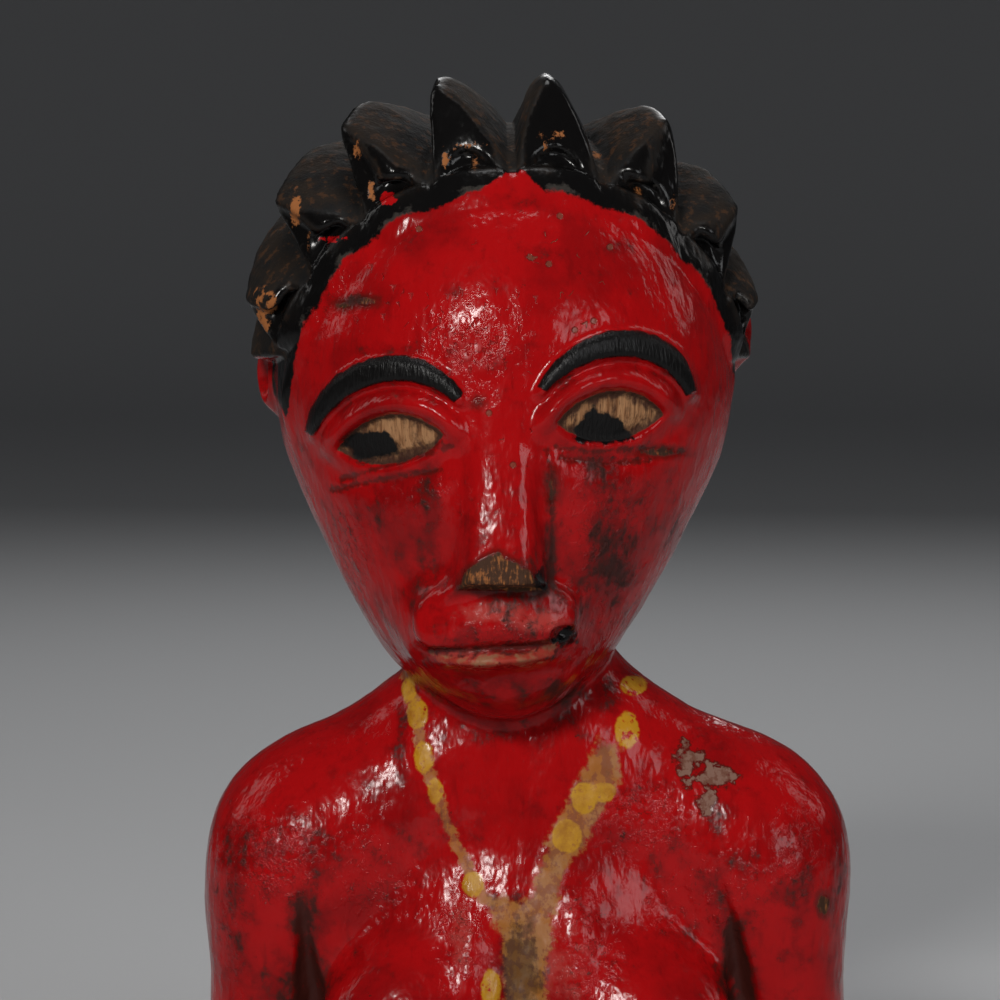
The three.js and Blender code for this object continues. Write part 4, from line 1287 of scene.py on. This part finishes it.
def fine_relief(points, layers):
    """How far each point stands out from the plain carving, in millimetres."""
    px, py = in_frame(points)
    front = points[:, 1] < FRONT_Y
    skin = fade(-0.6, 0.8, layers["hair_gap"])
    body = fade(112.0, 100.0, points[:, 2])
    ridges = np.sum([in_spot(px, py, ridge) for ridge in STERNUM_RIDGES], axis=0)
    carved = STERNUM_RIDGE_HEIGHT * ridges
    carved = carved - STERNUM_HOLLOW_DEPTH * in_spot(px, py, STERNUM_HOLLOW)
    carved = carved - GROOVE_DEPTH * arm_grooves(px, py)
    height = tool_marks(points, layers, skin, body) + paint_edges(points, layers, body)
    return height + HAIR_LIP_HEIGHT * hair_lip(points) + front * body * carved


def mesh_of(name, points, faces):
    """A mesh of four-sided faces, from points in metres."""
    mesh = bpy.data.meshes.new(name)
    mesh.vertices.add(len(points))
    mesh.vertices.foreach_set("co", points.astype(np.float32).ravel())
    mesh.loops.add(4 * len(faces))
    mesh.loops.foreach_set("vertex_index", faces.astype(np.int32).ravel())
    mesh.polygons.add(len(faces))
    mesh.polygons.foreach_set("loop_start", np.arange(0, 4 * len(faces), 4, dtype=np.int32))
    mesh.update(calc_edges=True)
    mesh.validate()
    return mesh


def thinned(mesh, triangles):
    """The same mesh with fewer faces, where it is smooth."""
    holder = bpy.data.objects.new("holder", mesh)
    bpy.context.scene.collection.objects.link(holder)
    thin = holder.modifiers.new("thin", "DECIMATE")
    thin.ratio = min(1.0, triangles / (2.0 * len(mesh.polygons)))
    bpy.context.view_layer.update()
    evaluated = holder.evaluated_get(bpy.context.evaluated_depsgraph_get())
    kept = bpy.data.meshes.new_from_object(evaluated)
    bpy.data.objects.remove(holder)
    bpy.data.meshes.remove(mesh)
    return kept


def cut_flat(mesh):
    """Cuts the mesh off at the floor and closes it with flat faces of the second material."""
    work = bmesh.new()
    work.from_mesh(mesh)
    everything = work.verts[:] + work.edges[:] + work.faces[:]
    floor = {"plane_co": (0, 0, 0), "plane_no": (0, 0, 1)}
    bmesh.ops.bisect_plane(work, geom=everything, clear_inner=True, **floor)
    for face in work.faces:
        face.smooth = True
    rim = [edge for edge in work.edges if edge.is_boundary]
    made = bmesh.ops.triangle_fill(work, use_beauty=True, edges=rim)
    for face in made["geom"]:
        if isinstance(face, bmesh.types.BMFace):
            face.material_index = 1
            face.smooth = False
            if face.normal.z > 0.0:
                face.normal_flip()
    bmesh.ops.triangulate(work, faces=work.faces[:])
    work.to_mesh(mesh)
    work.free()


def vertex_places(mesh):
    places = np.zeros(3 * len(mesh.vertices), np.float32)
    mesh.vertices.foreach_get("co", places)
    return places.reshape(-1, 3).astype(float)


def vertex_normals(mesh):
    normals = np.zeros(3 * len(mesh.vertices), np.float32)
    mesh.vertex_normals.foreach_get("vector", normals)
    return normals.reshape(-1, 3).astype(float)


def keep_layers(mesh, layers):
    for name, values in layers.items():
        attribute = mesh.attributes.new(name, "FLOAT", "POINT")
        attribute.data.foreach_set("value", values.astype(np.float32))


# How far the grid reaches that the carving is sampled on
GRID_HALF_WIDTH = 87.0
GRID_FRONT_Y = -77.0
GRID_BACK_Y = 82.0


def carved_mesh(cell, triangles):
    """The whole carving as a mesh in metres, with its paint's layers on its points."""
    top = SKULL_Z + SKULL_HALF_HEIGHT + VALLEY_HEIGHT + CREST_HEIGHT + 3.0
    low = np.array([-GRID_HALF_WIDTH, GRID_FRONT_Y, -CUT_MARGIN - 2.0 * cell])
    high = np.array([GRID_HALF_WIDTH, GRID_BACK_Y, top])
    values = sample_field(carved_form, low, high, cell)
    points, faces = facet_surface(values, low, cell)
    points, normals = settle_on_surface(carved_form, points, cell)
    layers = paint_layers(points, normals)
    places = points + normals * fine_relief(points, layers)[:, None]
    mesh = thinned(mesh_of("carved_bust_skin", places * MM, faces), triangles)
    cut_flat(mesh)
    keep_layers(mesh, paint_layers(vertex_places(mesh) / MM, vertex_normals(mesh)))
    return mesh


class Number:
    """A number that changes over the surface, held by a node's output. Sums add Math nodes."""

    def __init__(self, box, socket):
        self.box = box
        self.socket = socket

    def __add__(self, other):
        return self.box.math("ADD", self, other)

    def __radd__(self, other):
        return self.box.math("ADD", other, self)

    def __sub__(self, other):
        return self.box.math("SUBTRACT", self, other)

    def __rsub__(self, other):
        return self.box.math("SUBTRACT", other, self)

    def __mul__(self, other):
        return self.box.math("MULTIPLY", self, other)

    def __rmul__(self, other):
        return self.box.math("MULTIPLY", other, self)


def as_input(colour):
    """A colour for a node's socket: a node's output as it is, three numbers with a full alpha."""
    return colour if isinstance(colour, bpy.types.NodeSocket) else (*colour, 1.0)


class Paintbox:
    """Makes the nodes of one material."""

    def __init__(self, name):
        self.material = bpy.data.materials.new(name)
        self.material.use_nodes = True
        self.tree = self.material.node_tree
        self.tree.nodes.clear()
        self.place = self.node("ShaderNodeTexCoord").outputs["Object"]

    def node(self, kind, settings=None, inputs=None):
        """A node of that type, with its settings and then its sockets' values or links."""
        made = self.tree.nodes.new(kind)
        for name, value in (settings or {}).items():
            setattr(made, name, value)
        for name, value in (inputs or {}).items():
            socket = value.socket if isinstance(value, Number) else value
            if isinstance(socket, bpy.types.NodeSocket):
                self.tree.links.new(socket, made.inputs[name])
            else:
                made.inputs[name].default_value = value
        return made

    def math(self, operation, one, two):
        made = self.node("ShaderNodeMath", {"operation": operation}, {0: one, 1: two})
        return Number(self, made.outputs[0])

    def size_of(self, number):
        """The number without its sign."""
        return self.math("ABSOLUTE", number, 0.0)

    def least(self, one, two):
        return self.math("MINIMUM", one, two)

    def most(self, one, two):
        return self.math("MAXIMUM", one, two)

    def layer(self, name):
        """A distance or share kept on the mesh."""
        settings = {"attribute_type": "GEOMETRY", "attribute_name": name}
        return Number(self, self.node("ShaderNodeAttribute", settings).outputs["Fac"])

    def noise(self, size, stretch=(1.0, 1.0, 1.0), detail=3.0, rough=0.55):
        """Noise about 0.5, in lumps of that size in metres, drawn out along the axes by stretch."""
        scale = tuple(1.0 / (size * share) for share in stretch)
        mapping = self.node("ShaderNodeMapping", None, {"Vector": self.place, "Scale": scale})
        made = self.node(
            "ShaderNodeTexNoise",
            {"noise_dimensions": "3D"},
            {"Vector": mapping.outputs[0], "Scale": 1.0, "Detail": detail, "Roughness": rough},
        )
        return Number(self, made.outputs["Fac"])

    def share(self, number, start, end):
        """0 where the number is at start, 1 where it is at end, smooth between."""
        made = self.node(
            "ShaderNodeMapRange",
            {"interpolation_type": "SMOOTHSTEP"},
            {"Value": number, "From Min": start, "From Max": end},
        )
        return Number(self, made.outputs["Result"])

    def over(self, under, share, colour):
        """A colour laid over another where share is 1. Each is a node's output or three numbers."""
        inputs = {0: share, 6: as_input(under), 7: as_input(colour)}
        return self.node("ShaderNodeMix", {"data_type": "RGBA"}, inputs).outputs[2]

    def between(self, one, two, share):
        """A number between two numbers."""
        made = self.node("ShaderNodeMix", {"data_type": "FLOAT"}, {0: share, 2: one, 3: two})
        return Number(self, made.outputs[0])

    def bump(self, height, distance, strength, normal=None):
        inputs = {"Height": height, "Distance": distance, "Strength": strength}
        if normal is not None:
            inputs["Normal"] = normal
        return self.node("ShaderNodeBump", None, inputs).outputs["Normal"]

    def finish(self, inputs):
        """The surface itself, from the values and links of its sockets."""
        shader = self.node("ShaderNodeBsdfPrincipled", None, inputs)
        self.node("ShaderNodeOutputMaterial", None, {"Surface": shader.outputs[0]})
        return self.material


# Sizes of the noises, in metres
GRAIN_SIZE = 0.0011
PORE_SIZE = 0.0005
BLOTCH_SIZE = 0.022
LUMP_SIZE = 0.0036
MOTTLE_SIZE = 0.007
GRIT_SIZE = 0.0022
STREAK_SIZE = 0.003
BRUSH_SIZE = 0.0008
VEIN_SIZE = 0.006


def grain_of_wood(box, colours):
    """Bare wood: a colour with upright grain."""
    streaks = box.noise(GRAIN_SIZE, (1.0, 1.0, 14.0), 4.0, 0.6)
    pores = box.noise(PORE_SIZE, (1.0, 1.0, 6.0), 2.0, 0.5)
    colour = box.over(colours.wood, box.share(streaks, 0.42, 0.68), colours.wood_dark)
    return box.over(colour, box.share(pores, 0.62, 0.72) * 0.6, colours.grime_and_shade)


class Texture:
    """The noises that break up the paint's edges and tones."""

    def __init__(self, box):
        self.blotch = box.noise(BLOTCH_SIZE, detail=4.0)
        self.lumps = box.noise(LUMP_SIZE, (1.0, 1.0, 2.0), 2.0, 0.5)
        self.mottle = box.noise(MOTTLE_SIZE, detail=6.0, rough=0.65)
        self.grit = box.noise(GRIT_SIZE, detail=4.0, rough=0.65)
        self.streak = box.noise(STREAK_SIZE, (1.0, 1.0, 5.0), 5.0, 0.6)
        self.brush = box.noise(BRUSH_SIZE, (1.0, 1.0, 7.0), 3.0, 0.55)
        self.vein = box.size_of(box.noise(VEIN_SIZE, detail=4.0, rough=0.6) - 0.5)
        self.torn = (self.mottle - 0.5) * 3.2 + (self.grit - 0.5) * 3.2
        self.ragged = (self.mottle - 0.5) * 1.3 + (self.grit - 0.5) * 1.6


def red_paint(box, texture, colours):
    """The red of face and body, and how much dirt and painted shade lie on it."""
    mottle = texture.mottle - 0.5
    scuffs = box.layer("scuffs")
    # Paler red: chalky rubbing, and painted highlights and sheen
    pale = box.share(box.layer("pale") + mottle * 1.6 + (texture.grit - 0.5) * 0.9, 0.3, 0.95)
    # Stains and dirt, with painted shade added in creases and hollows
    dirt_and_shade = box.layer("grime_and_shade") + box.layer("hollow") * 0.7 + mottle * 2.6
    dirt_and_shade = dirt_and_shade + (texture.streak - 0.5) * 1.4
    soil_and_shade = box.share(dirt_and_shade + (texture.grit - 0.5) * 1.1, 0.42, 1.05) * 0.92
    flecks = box.share(texture.grit + scuffs * 0.08 + mottle * 0.3, 0.705, 0.75)
    veins = box.share(texture.vein, 0.014, 0.004) * box.share(scuffs + mottle * 2.0, 0.2, 0.7)

    colour = box.over(colours.red, box.share(texture.blotch, 0.46, 0.66) * 0.5, colours.red_deep)
    colour = box.over(colour, box.share(texture.streak, 0.55, 0.72) * 0.4, colours.red_deep)
    # Deeper red where dirt and painted shade lie
    darkened = box.share(dirt_and_shade - (texture.streak - 0.5) * 1.4, 0.0, 0.7)
    colour = box.over(colour, darkened * 0.7, colours.red_deep)
    colour = box.over(colour, pale * 0.75, colours.red_chalk_and_sheen)
    colour = box.over(colour, soil_and_shade, colours.grime_and_shade)
    colour = box.over(colour, box.most(flecks * 0.7, veins * 0.45), colours.grime_and_shade)
    return colour, soil_and_shade


def black_hair(box, texture, colours, dust):
    """Black hair: dusty flanks, worn places, painted shade in hollows, highlights on rubbed edges.
    """
    grit = texture.grit - 0.5
    dust_out_of_shade = dust * box.share(texture.mottle, 0.34, 0.58)
    # No dust in hollows, so they stay black as painted shade
    dust_out_of_shade = dust_out_of_shade * box.share(box.layer("hollow"), 0.75, 0.15)
    colour = box.over(colours.black, dust_out_of_shade * 0.9, colours.dust)
    crumbs = box.share(texture.grit + (texture.streak - 0.5) * 0.8, 0.54, 0.68)
    colour = box.over(colour, dust * crumbs * 0.6, colours.dust_brown)
    # Edges turn grey: rubbed wear, and a painted highlight along them
    rubbed = box.share(box.layer("sharp") + grit * 2.0 + (texture.mottle - 0.5), 0.5, 1.0)
    colour = box.over(colour, rubbed * 0.45, colours.rubbed)
    worn = box.share(box.layer("wear_gap") + texture.torn * 1.2, 0.0, -0.5)
    worn = worn * box.share(texture.streak + grit * 0.8, 0.42, 0.52)
    colour = box.over(colour, worn * 0.9, colours.worn)
    red = box.share(box.layer("red_gap") + texture.torn * 0.9, 0.1, -0.2)
    return box.over(colour, red, colours.red), worn


def necklace_paint(box, texture, colours, under):
    """The painted beads and the rubbed strand they hang on, laid over another colour."""
    strand = box.share(box.layer("strand_gap") + texture.torn * 1.2, 0.4, -0.6)
    smear = box.share(box.layer("smear_gap") + texture.torn * 1.7, 1.0, -1.0)
    both = box.most(strand * 0.7, smear * 0.8)
    yellowish = box.share(texture.mottle, 0.40, 0.54)
    worn = box.over(colours.strand, yellowish * 0.8, colours.yellow_deep)
    dark = box.share(texture.grit + (texture.streak - 0.5) * 0.7, 0.47, 0.58)
    worn = box.over(worn, dark * 0.6, colours.strand_dark)
    colour = box.over(under, both, worn)
    bead = box.share(box.layer("bead_gap") + texture.ragged * 0.9, 0.3, -0.3)
    bead = bead * box.share(texture.grit + (texture.mottle - 0.5) * 0.6, 0.32, 0.44)
    yellow = box.over(colours.yellow, box.share(texture.mottle, 0.45, 0.68), colours.yellow_deep)
    return box.over(colour, bead * 0.95, yellow), both


def bare_places(box, texture, colours, under):
    """Bare eyes, worn and chipped places and the pale lower lip, over another colour."""
    wood = grain_of_wood(box, colours)
    eye_gap = box.layer("eye_gap")
    # The eyes darken towards their rims under the lids and in hollows: dirt and painted shade
    rim = box.share(eye_gap + (texture.mottle - 0.5) * 5.0, -3.4, 0.0)
    dirt_and_shade = rim * 0.8 + box.layer("hollow") * 0.6 + (texture.streak - 0.5) * 2.6
    dirt_and_shade = dirt_and_shade + (texture.grit - 0.5) * 1.5
    eye_wood = box.over(wood, box.share(dirt_and_shade, 0.0, 0.8) * 0.9, colours.grime_and_shade)
    eye = box.share(eye_gap + texture.ragged * 0.7, 0.25, -0.2)
    worn_gap = box.layer("bare_gap") + texture.torn * 0.8
    worn = box.share(worn_gap, 0.1, -0.6)
    worn_rim = box.share(worn_gap, 1.8, 0.0)
    fibres = box.share(texture.brush + (texture.grit - 0.5) * 0.8, 0.5, 0.72)
    worn_wood = box.over(colours.worn_dark, fibres * 0.8, colours.worn)
    chip_gap = box.layer("chip_gap") + texture.torn * 1.7
    chip = box.share(chip_gap, 0.2, -0.5)
    chip_rim = box.share(chip_gap, 0.9, 0.2)
    lip = box.share(box.layer("lip_gap") + texture.torn * 1.1, 0.3, -0.7)
    lip_colour = box.over(colours.lip, box.share(texture.mottle, 0.44, 0.6) * 0.8, colours.red)
    lip_colour = box.over(lip_colour, box.share(texture.grit, 0.58, 0.68) * 0.7, colours.grime_and_shade)

    colour = box.over(under, worn_rim * 0.6, colours.grime_and_shade)
    colour = box.over(colour, worn, worn_wood)
    colour = box.over(colour, lip * 0.85, lip_colour)
    colour = box.over(colour, chip_rim * 0.75, colours.grime_and_shade)
    dark_chip = box.share(texture.grit + (texture.streak - 0.5) * 0.6, 0.44, 0.56)
    chip_colour = box.over(colours.chip, dark_chip * 0.85, colours.strand_dark)
    colour = box.over(colour, chip * 0.9, chip_colour)
    colour = box.over(colour, eye, eye_wood)
    return colour, box.most(box.most(eye, worn), box.most(chip, lip * 0.5))


def small_marks(box, texture):
    """The depth of the chisel marks and borer holes, from 0 to 1 each."""
    right = box.size_of(box.layer("mark_right") + (texture.grit - 0.5) * 1.2)
    below = box.layer("mark_below")
    outside = box.most(right + below * 0.3, box.size_of(below) - 0.8)
    wedge = box.share(outside, 0.45, -0.35)
    hole_right = box.layer("hole_right")
    hole_below = box.layer("hole_below")
    from_hole = hole_right * hole_right + hole_below * hole_below
    return wedge, box.share(from_hole + (texture.grit - 0.5) * 0.5, 0.9, 0.3)


def painted_wood(colours, finish):
    """The bust's wood under red, black and yellow paint, with wear, grime, painted shade and
    highlights.
    """
    box = Paintbox("painted_wood")
    texture = Texture(box)
    dust = box.layer("dust")
    hair = box.share(box.layer("hair_gap") + texture.ragged * 0.8, 0.35, -0.05)
    brow = box.layer("brow_gap") + (texture.streak - 0.5) * 1.6 + (texture.grit - 0.5) * 0.6
    brow = box.share(brow, 0.35, -0.05)
    # Pupils, and black painted shade at the nose and in the mouth's corner
    pupil_and_shade = box.layer("pupil_and_shade_gap") + (texture.streak - 0.5) * 2.6 + (texture.grit - 0.5) * 3.0
    pupil_and_shade = box.share(pupil_and_shade, 0.5, -0.5)
    # Dark strokes: cut and worn lines, and painted shade down the nose's side and along the mouth
    cut = box.share(box.layer("cut_and_shade_gap") + texture.torn * 1.0, 0.7, -0.3)
    wedge, hole = small_marks(box, texture)

    red, soil_and_shade = red_paint(box, texture, colours)
    red, strand = necklace_paint(box, texture, colours, red)
    # Dirt and painted shade over the strand and smears as well
    red = box.over(red, soil_and_shade * strand * 0.75, colours.grime_and_shade)
    # Chisel marks painted paler: a painted highlight in each
    red = box.over(red, wedge * 0.45, colours.red_chalk_and_sheen)
    red = box.over(red, hole * 0.7, colours.strand_dark)
    red, bare = bare_places(box, texture, colours, red)
    black, worn = black_hair(box, texture, colours, dust)
    colour = box.over(red, hair, black)
    # The dark strokes, painted shade in part
    colour = box.over(colour, cut * 0.7, colours.grime_and_shade)
    # Brows and pupils, and black painted shade at the nose and the mouth's corner
    colour = box.over(colour, box.most(brow, pupil_and_shade), colours.black)

    matt = box.most(bare * 0.9, strand * 0.6)
    matt = box.most(matt, box.most(soil_and_shade * 0.45, hair * box.most(dust * 1.1, worn)))
    rough = box.between(finish.gloss_roughness, 0.78, matt) + (texture.mottle - 0.5) * 0.14
    rough = box.between(rough, 0.42, brow * 0.7)

    # The bump works its height out three times, so its masks are the plain layers
    in_hair = box.share(box.layer("hair_gap"), 0.35, -0.05)
    in_brow = box.share(box.layer("brow_gap"), 0.35, -0.05)
    in_wood = box.share(box.least(box.layer("eye_gap"), box.layer("bare_gap")), 0.2, -0.5)
    blisters = box.share(texture.grit + box.layer("scuffs") * 0.09 - in_hair * 0.15, 0.52, 0.84)
    height = texture.lumps * (0.5 - 0.05 * in_hair) + blisters * (box.layer("scuffs") * 0.4 + 0.03)
    height = height + texture.brush * (0.03 + 0.4 * in_brow + 0.2 * dust + 0.5 * in_wood)
    height = height - wedge * 0.7 - hole * 0.4
    normal = box.bump(height, finish.bump_height, 0.8)
    return box.finish(
        {
            "Base Color": colour,
            "Roughness": rough,
            "Specular IOR Level": finish.gloss_level,
            "Normal": normal,
        }
    )


def bare_underside(colours, finish):
    """The flat cut underneath: end grain, darker to its rings."""
    box = Paintbox("bare_underside")
    warp = box.noise(0.03, detail=2.0)
    place = box.node(
        "ShaderNodeVectorMath",
        {"operation": "MULTIPLY_ADD"},
        {0: warp, 1: (0.02, 0.02, 0.0), 2: box.place},
    )
    rings = box.node(
        "ShaderNodeTexWave",
        {"wave_type": "RINGS", "rings_direction": "Z"},
        {"Vector": place.outputs[0], "Scale": 60.0, "Distortion": 1.5, "Detail": 3.0},
    )
    ring = Number(box, rings.outputs["Fac"])
    saw = box.noise(0.0012, (30.0, 1.0, 1.0), 3.0)
    colour = box.over(colours.wood, box.share(ring, 0.3, 0.9) * 0.6, colours.wood_dark)
    colour = box.over(colour, box.share(saw, 0.5, 0.8) * 0.4, colours.grime_and_shade)
    normal = box.bump(ring * 0.4 + saw, finish.bump_height, 0.5)
    return box.finish({"Base Color": colour, "Roughness": 0.8, "Normal": normal})


# The studio's lights: name, place, width and height, share of the key light's power, and tint
SOFTBOXES = (
    ("key", (-0.38, -1.18, 0.78), (0.24, 0.24), 1.0, (1.0, 0.98, 0.95)),
    ("fill", (0.85, -0.95, 0.55), (0.5, 0.5), 0.32, (0.97, 0.98, 1.0)),
    ("left_strip", (-0.95, 0.25, 0.8), (0.2, 0.7), 0.08, (1.0, 0.98, 0.96)),
    ("right_strip", (0.95, 0.3, 0.8), (0.2, 0.7), 0.08, (1.0, 0.98, 0.96)),
    ("top", (0.0, 0.05, 1.1), (0.3, 0.3), 0.15, (1.0, 1.0, 1.0)),
    ("back", (0.1, 1.2, 0.9), (0.6, 0.4), 0.28, (1.0, 1.0, 1.0)),
)
ROOM_TINT = (0.9, 0.93, 1.0, 1.0)


def light(name, place, target, size, watts, tint):
    """A softbox: a rectangle of light that faces target."""
    data = bpy.data.lights.new(name, "AREA")
    data.shape = "RECTANGLE"
    data.size = size[0]
    data.size_y = size[1]
    data.energy = watts
    data.color = tint
    lamp = bpy.data.objects.new(name, data)
    lamp.location = place
    lamp.rotation_euler = (Vector(target) - Vector(place)).to_track_quat("-Z", "Y").to_euler()
    bpy.context.scene.collection.objects.link(lamp)
    return lamp


def studio_floor(colour):
    """A wide pale floor whose rim rises gently all round, so that no line shows where it ends."""
    rings = 36
    around = 96
    flat = 2.6
    far = 7.0
    climb = 0.32
    work = bmesh.new()
    rows = []
    for ring in range(1, rings + 1):
        radius = far * ring / rings
        height = climb * max(radius - flat, 0.0) ** 2
        row = []
        for step in range(around):
            turn = 2.0 * math.pi * step / around
            row.append(work.verts.new((radius * math.cos(turn), radius * math.sin(turn), height)))
        rows.append(row)
    work.faces.new(rows[0])
    for inner, outer in zip(rows, rows[1:]):
        for step in range(around):
            following = (step + 1) % around
            work.faces.new((inner[step], outer[step], outer[following], inner[following]))
    for face in work.faces:
        face.smooth = True
    mesh = bpy.data.meshes.new("floor")
    work.to_mesh(mesh)
    work.free()
    box = Paintbox("pale_floor")
    box.finish({"Base Color": as_input(colour), "Roughness": 0.75})
    mesh.materials.append(box.material)
    floor = bpy.data.objects.new("floor", mesh)
    bpy.context.scene.collection.objects.link(floor)
    return floor


def photograph_camera():
    """The camera of the photograph: a little above the face, straight in front."""
    rise = math.radians(CAMERA_RISE)
    data = bpy.data.cameras.new("camera")
    data.sensor_width = 36.0
    data.lens = data.sensor_width * CAMERA_REACH / FRAME_SPAN
    data.clip_start = 0.05
    data.clip_end = 50.0
    camera = bpy.data.objects.new("camera", data)
    look = Vector((LOOK_X, 0.0, LOOK_Z)) * MM
    back = Vector((0.0, -math.cos(rise), math.sin(rise)))
    camera.location = look + back * CAMERA_REACH * MM
    camera.rotation_euler = (-back).to_track_quat("-Z", "Y").to_euler()
    bpy.context.scene.collection.objects.link(camera)
    bpy.context.scene.camera = camera
    return camera


def colour_property(name, description, default):
    limits = {"min": 0.0, "max": 1.0}
    return FloatVectorProperty(
        name=name, description=description, subtype="COLOR", size=3, default=default, **limits
    )


class BustColours(bpy.types.PropertyGroup):
    red: colour_property("Red", "The red paint of face and body", (0.335, 0.0032, 0.0042))
    red_deep: colour_property("Deep red", "Where the red has darkened", (0.13, 0.0025, 0.003))
    # Rubbed red also paints highlights, sheen and the glint in chisel marks
    red_chalk_and_sheen: colour_property(
        "Rubbed red", "Where the red is rubbed thin and chalky", (0.38, 0.05, 0.042)
    )
    # Black also paints the shade on the nose's lower right side and in the mouth's corner
    black: colour_property("Black", "The black of hair, brows and pupils", (0.0035, 0.0032, 0.0032))
    dust: colour_property("Dusty black", "Black with brown dust on it", (0.013, 0.0078, 0.0045))
    dust_brown: colour_property(
        "Brown dust", "Thicker brown dust in streaks", (0.060, 0.024, 0.008)
    )
    # Rubbed black also paints the highlight along edges
    rubbed: colour_property("Rubbed black", "Black rubbed grey along edges", (0.07, 0.063, 0.055))
    worn: colour_property("Worn wood", "Orange brown wood at worn places", (0.30, 0.105, 0.030))
    worn_dark: colour_property(
        "Dirty worn wood", "Dark wood at the tip of the nose", (0.045, 0.018, 0.008)
    )
    yellow: colour_property("Yellow", "The painted beads", (0.44, 0.22, 0.014))
    yellow_deep: colour_property(
        "Deep yellow", "Older yellow between the brush strokes", (0.30, 0.12, 0.012)
    )
    strand: colour_property("Bead strand", "Rubbed paint round the beads", (0.31, 0.165, 0.06))
    strand_dark: colour_property(
        "Dirty bead strand", "Darker paint round the beads", (0.13, 0.05, 0.03)
    )
    lip: colour_property("Lower lip", "Tan paint of the lower lip", (0.26, 0.135, 0.07))
    chip: colour_property("Chips", "Grey ground in chips of the red", (0.20, 0.11, 0.08))
    wood: colour_property("Wood", "Bare wood", (0.34, 0.175, 0.080))
    wood_dark: colour_property("Dark wood", "Darker grain of bare wood", (0.17, 0.072, 0.028))
    # Grime also paints the shade in creases, hollows and grooves
    grime_and_shade: colour_property("Grime", "Dark brown dirt in the hollows", (0.028, 0.008, 0.0055))
    floor: colour_property("Floor", "The studio floor", (0.44, 0.445, 0.455))


class BustSizes(bpy.types.PropertyGroup):
    cell: FloatProperty(
        name="Cell",
        description="How finely the carving is sampled, in millimetres",
        default=0.8,
        min=0.5,
        max=3.0,
    )
    triangles: IntProperty(
        name="Triangles",
        description="Most triangles in the bust's mesh",
        default=185000,
        min=5000,
        max=199000,
    )
    gloss_roughness: FloatProperty(
        name="Paint roughness",
        description="Roughness of clean paint",
        default=0.17,
        min=0.0,
        max=1.0,
    )
    gloss_level: FloatProperty(
        name="Paint gloss",
        description="How strongly clean paint mirrors",
        default=0.18,
        min=0.0,
        max=1.0,
    )
    bump_height: FloatProperty(
        name="Paint grain",
        description="Height of the finest grain of the paint",
        default=0.0012,
        unit="LENGTH",
    )
    key_watts: FloatProperty(
        name="Key light",
        description="Power of the main softbox",
        default=13.0,
        min=0.0,
        unit="POWER",
    )
    room: FloatProperty(
        name="Room light",
        description="Strength of the light from all round",
        default=0.05,
        min=0.0,
    )


class BUST_OT_carve(bpy.types.Operator):
    """Builds the carved and painted bust, and lets it stand for the CAD solid"""

    bl_idname = "bust.carve"
    bl_label = "Carve and paint the bust"

    def execute(self, context):
        sizes = context.scene.bust_sizes
        colours = context.scene.bust_colours
        cell = sizes.cell
        mesh = carved_mesh(cell, sizes.triangles)
        mesh.materials.append(painted_wood(colours, sizes))
        mesh.materials.append(bare_underside(colours, sizes))
        bust = bpy.data.objects.new("carved_bust_skin", mesh)
        context.scene.collection.objects.link(bust)
        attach(bust, "root")
        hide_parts("carved_bust")
        return {"FINISHED"}


class BUST_OT_stage(bpy.types.Operator):
    """Sets the pale floor, the soft lights and the camera of the photograph"""

    bl_idname = "bust.stage"
    bl_label = "Set the studio"

    def execute(self, context):
        sizes = context.scene.bust_sizes
        floor = studio_floor(context.scene.bust_colours.floor)
        face = (LOOK_X * MM, -0.04, 0.17)
        for name, place, size, share, tint in SOFTBOXES:
            light(name, place, face, size, share * sizes.key_watts, tint)
        world = bpy.data.worlds.new("room")
        world.use_nodes = True
        background = world.node_tree.nodes["Background"]
        background.inputs["Color"].default_value = ROOM_TINT
        background.inputs["Strength"].default_value = sizes.room
        context.scene.world = world
        context.scene.view_settings.view_transform = "Standard"
        photograph_camera()
        return {"FINISHED"}


class BUST_PT_panel(bpy.types.Panel):
    """Lists the steps that build the bust, and its sizes and colours"""

    bl_idname = "BUST_PT_panel"
    bl_label = "Painted bust"
    bl_space_type = "VIEW_3D"
    bl_region_type = "UI"
    bl_category = "Bust"

    def draw(self, context):
        layout = self.layout
        for group in (context.scene.bust_sizes, context.scene.bust_colours):
            for name in group.bl_rna.properties.keys():
                if name not in ("rna_type", "name"):
                    layout.prop(group, name)
        layout.operator(BUST_OT_carve.bl_idname)
        layout.operator(BUST_OT_stage.bl_idname)


CLASSES = (BustColours, BustSizes, BUST_OT_carve, BUST_OT_stage, BUST_PT_panel)


def register():
    for cls in CLASSES:
        bpy.utils.register_class(cls)
    bpy.types.Scene.bust_colours = PointerProperty(type=BustColours)
    bpy.types.Scene.bust_sizes = PointerProperty(type=BustSizes)


def unregister():
    del bpy.types.Scene.bust_sizes
    del bpy.types.Scene.bust_colours
    for cls in reversed(CLASSES):
        bpy.utils.unregister_class(cls)


def main():
    register()
    bpy.ops.bust.carve()
    bpy.ops.bust.stage()


if __name__ == "__main__":
    main()
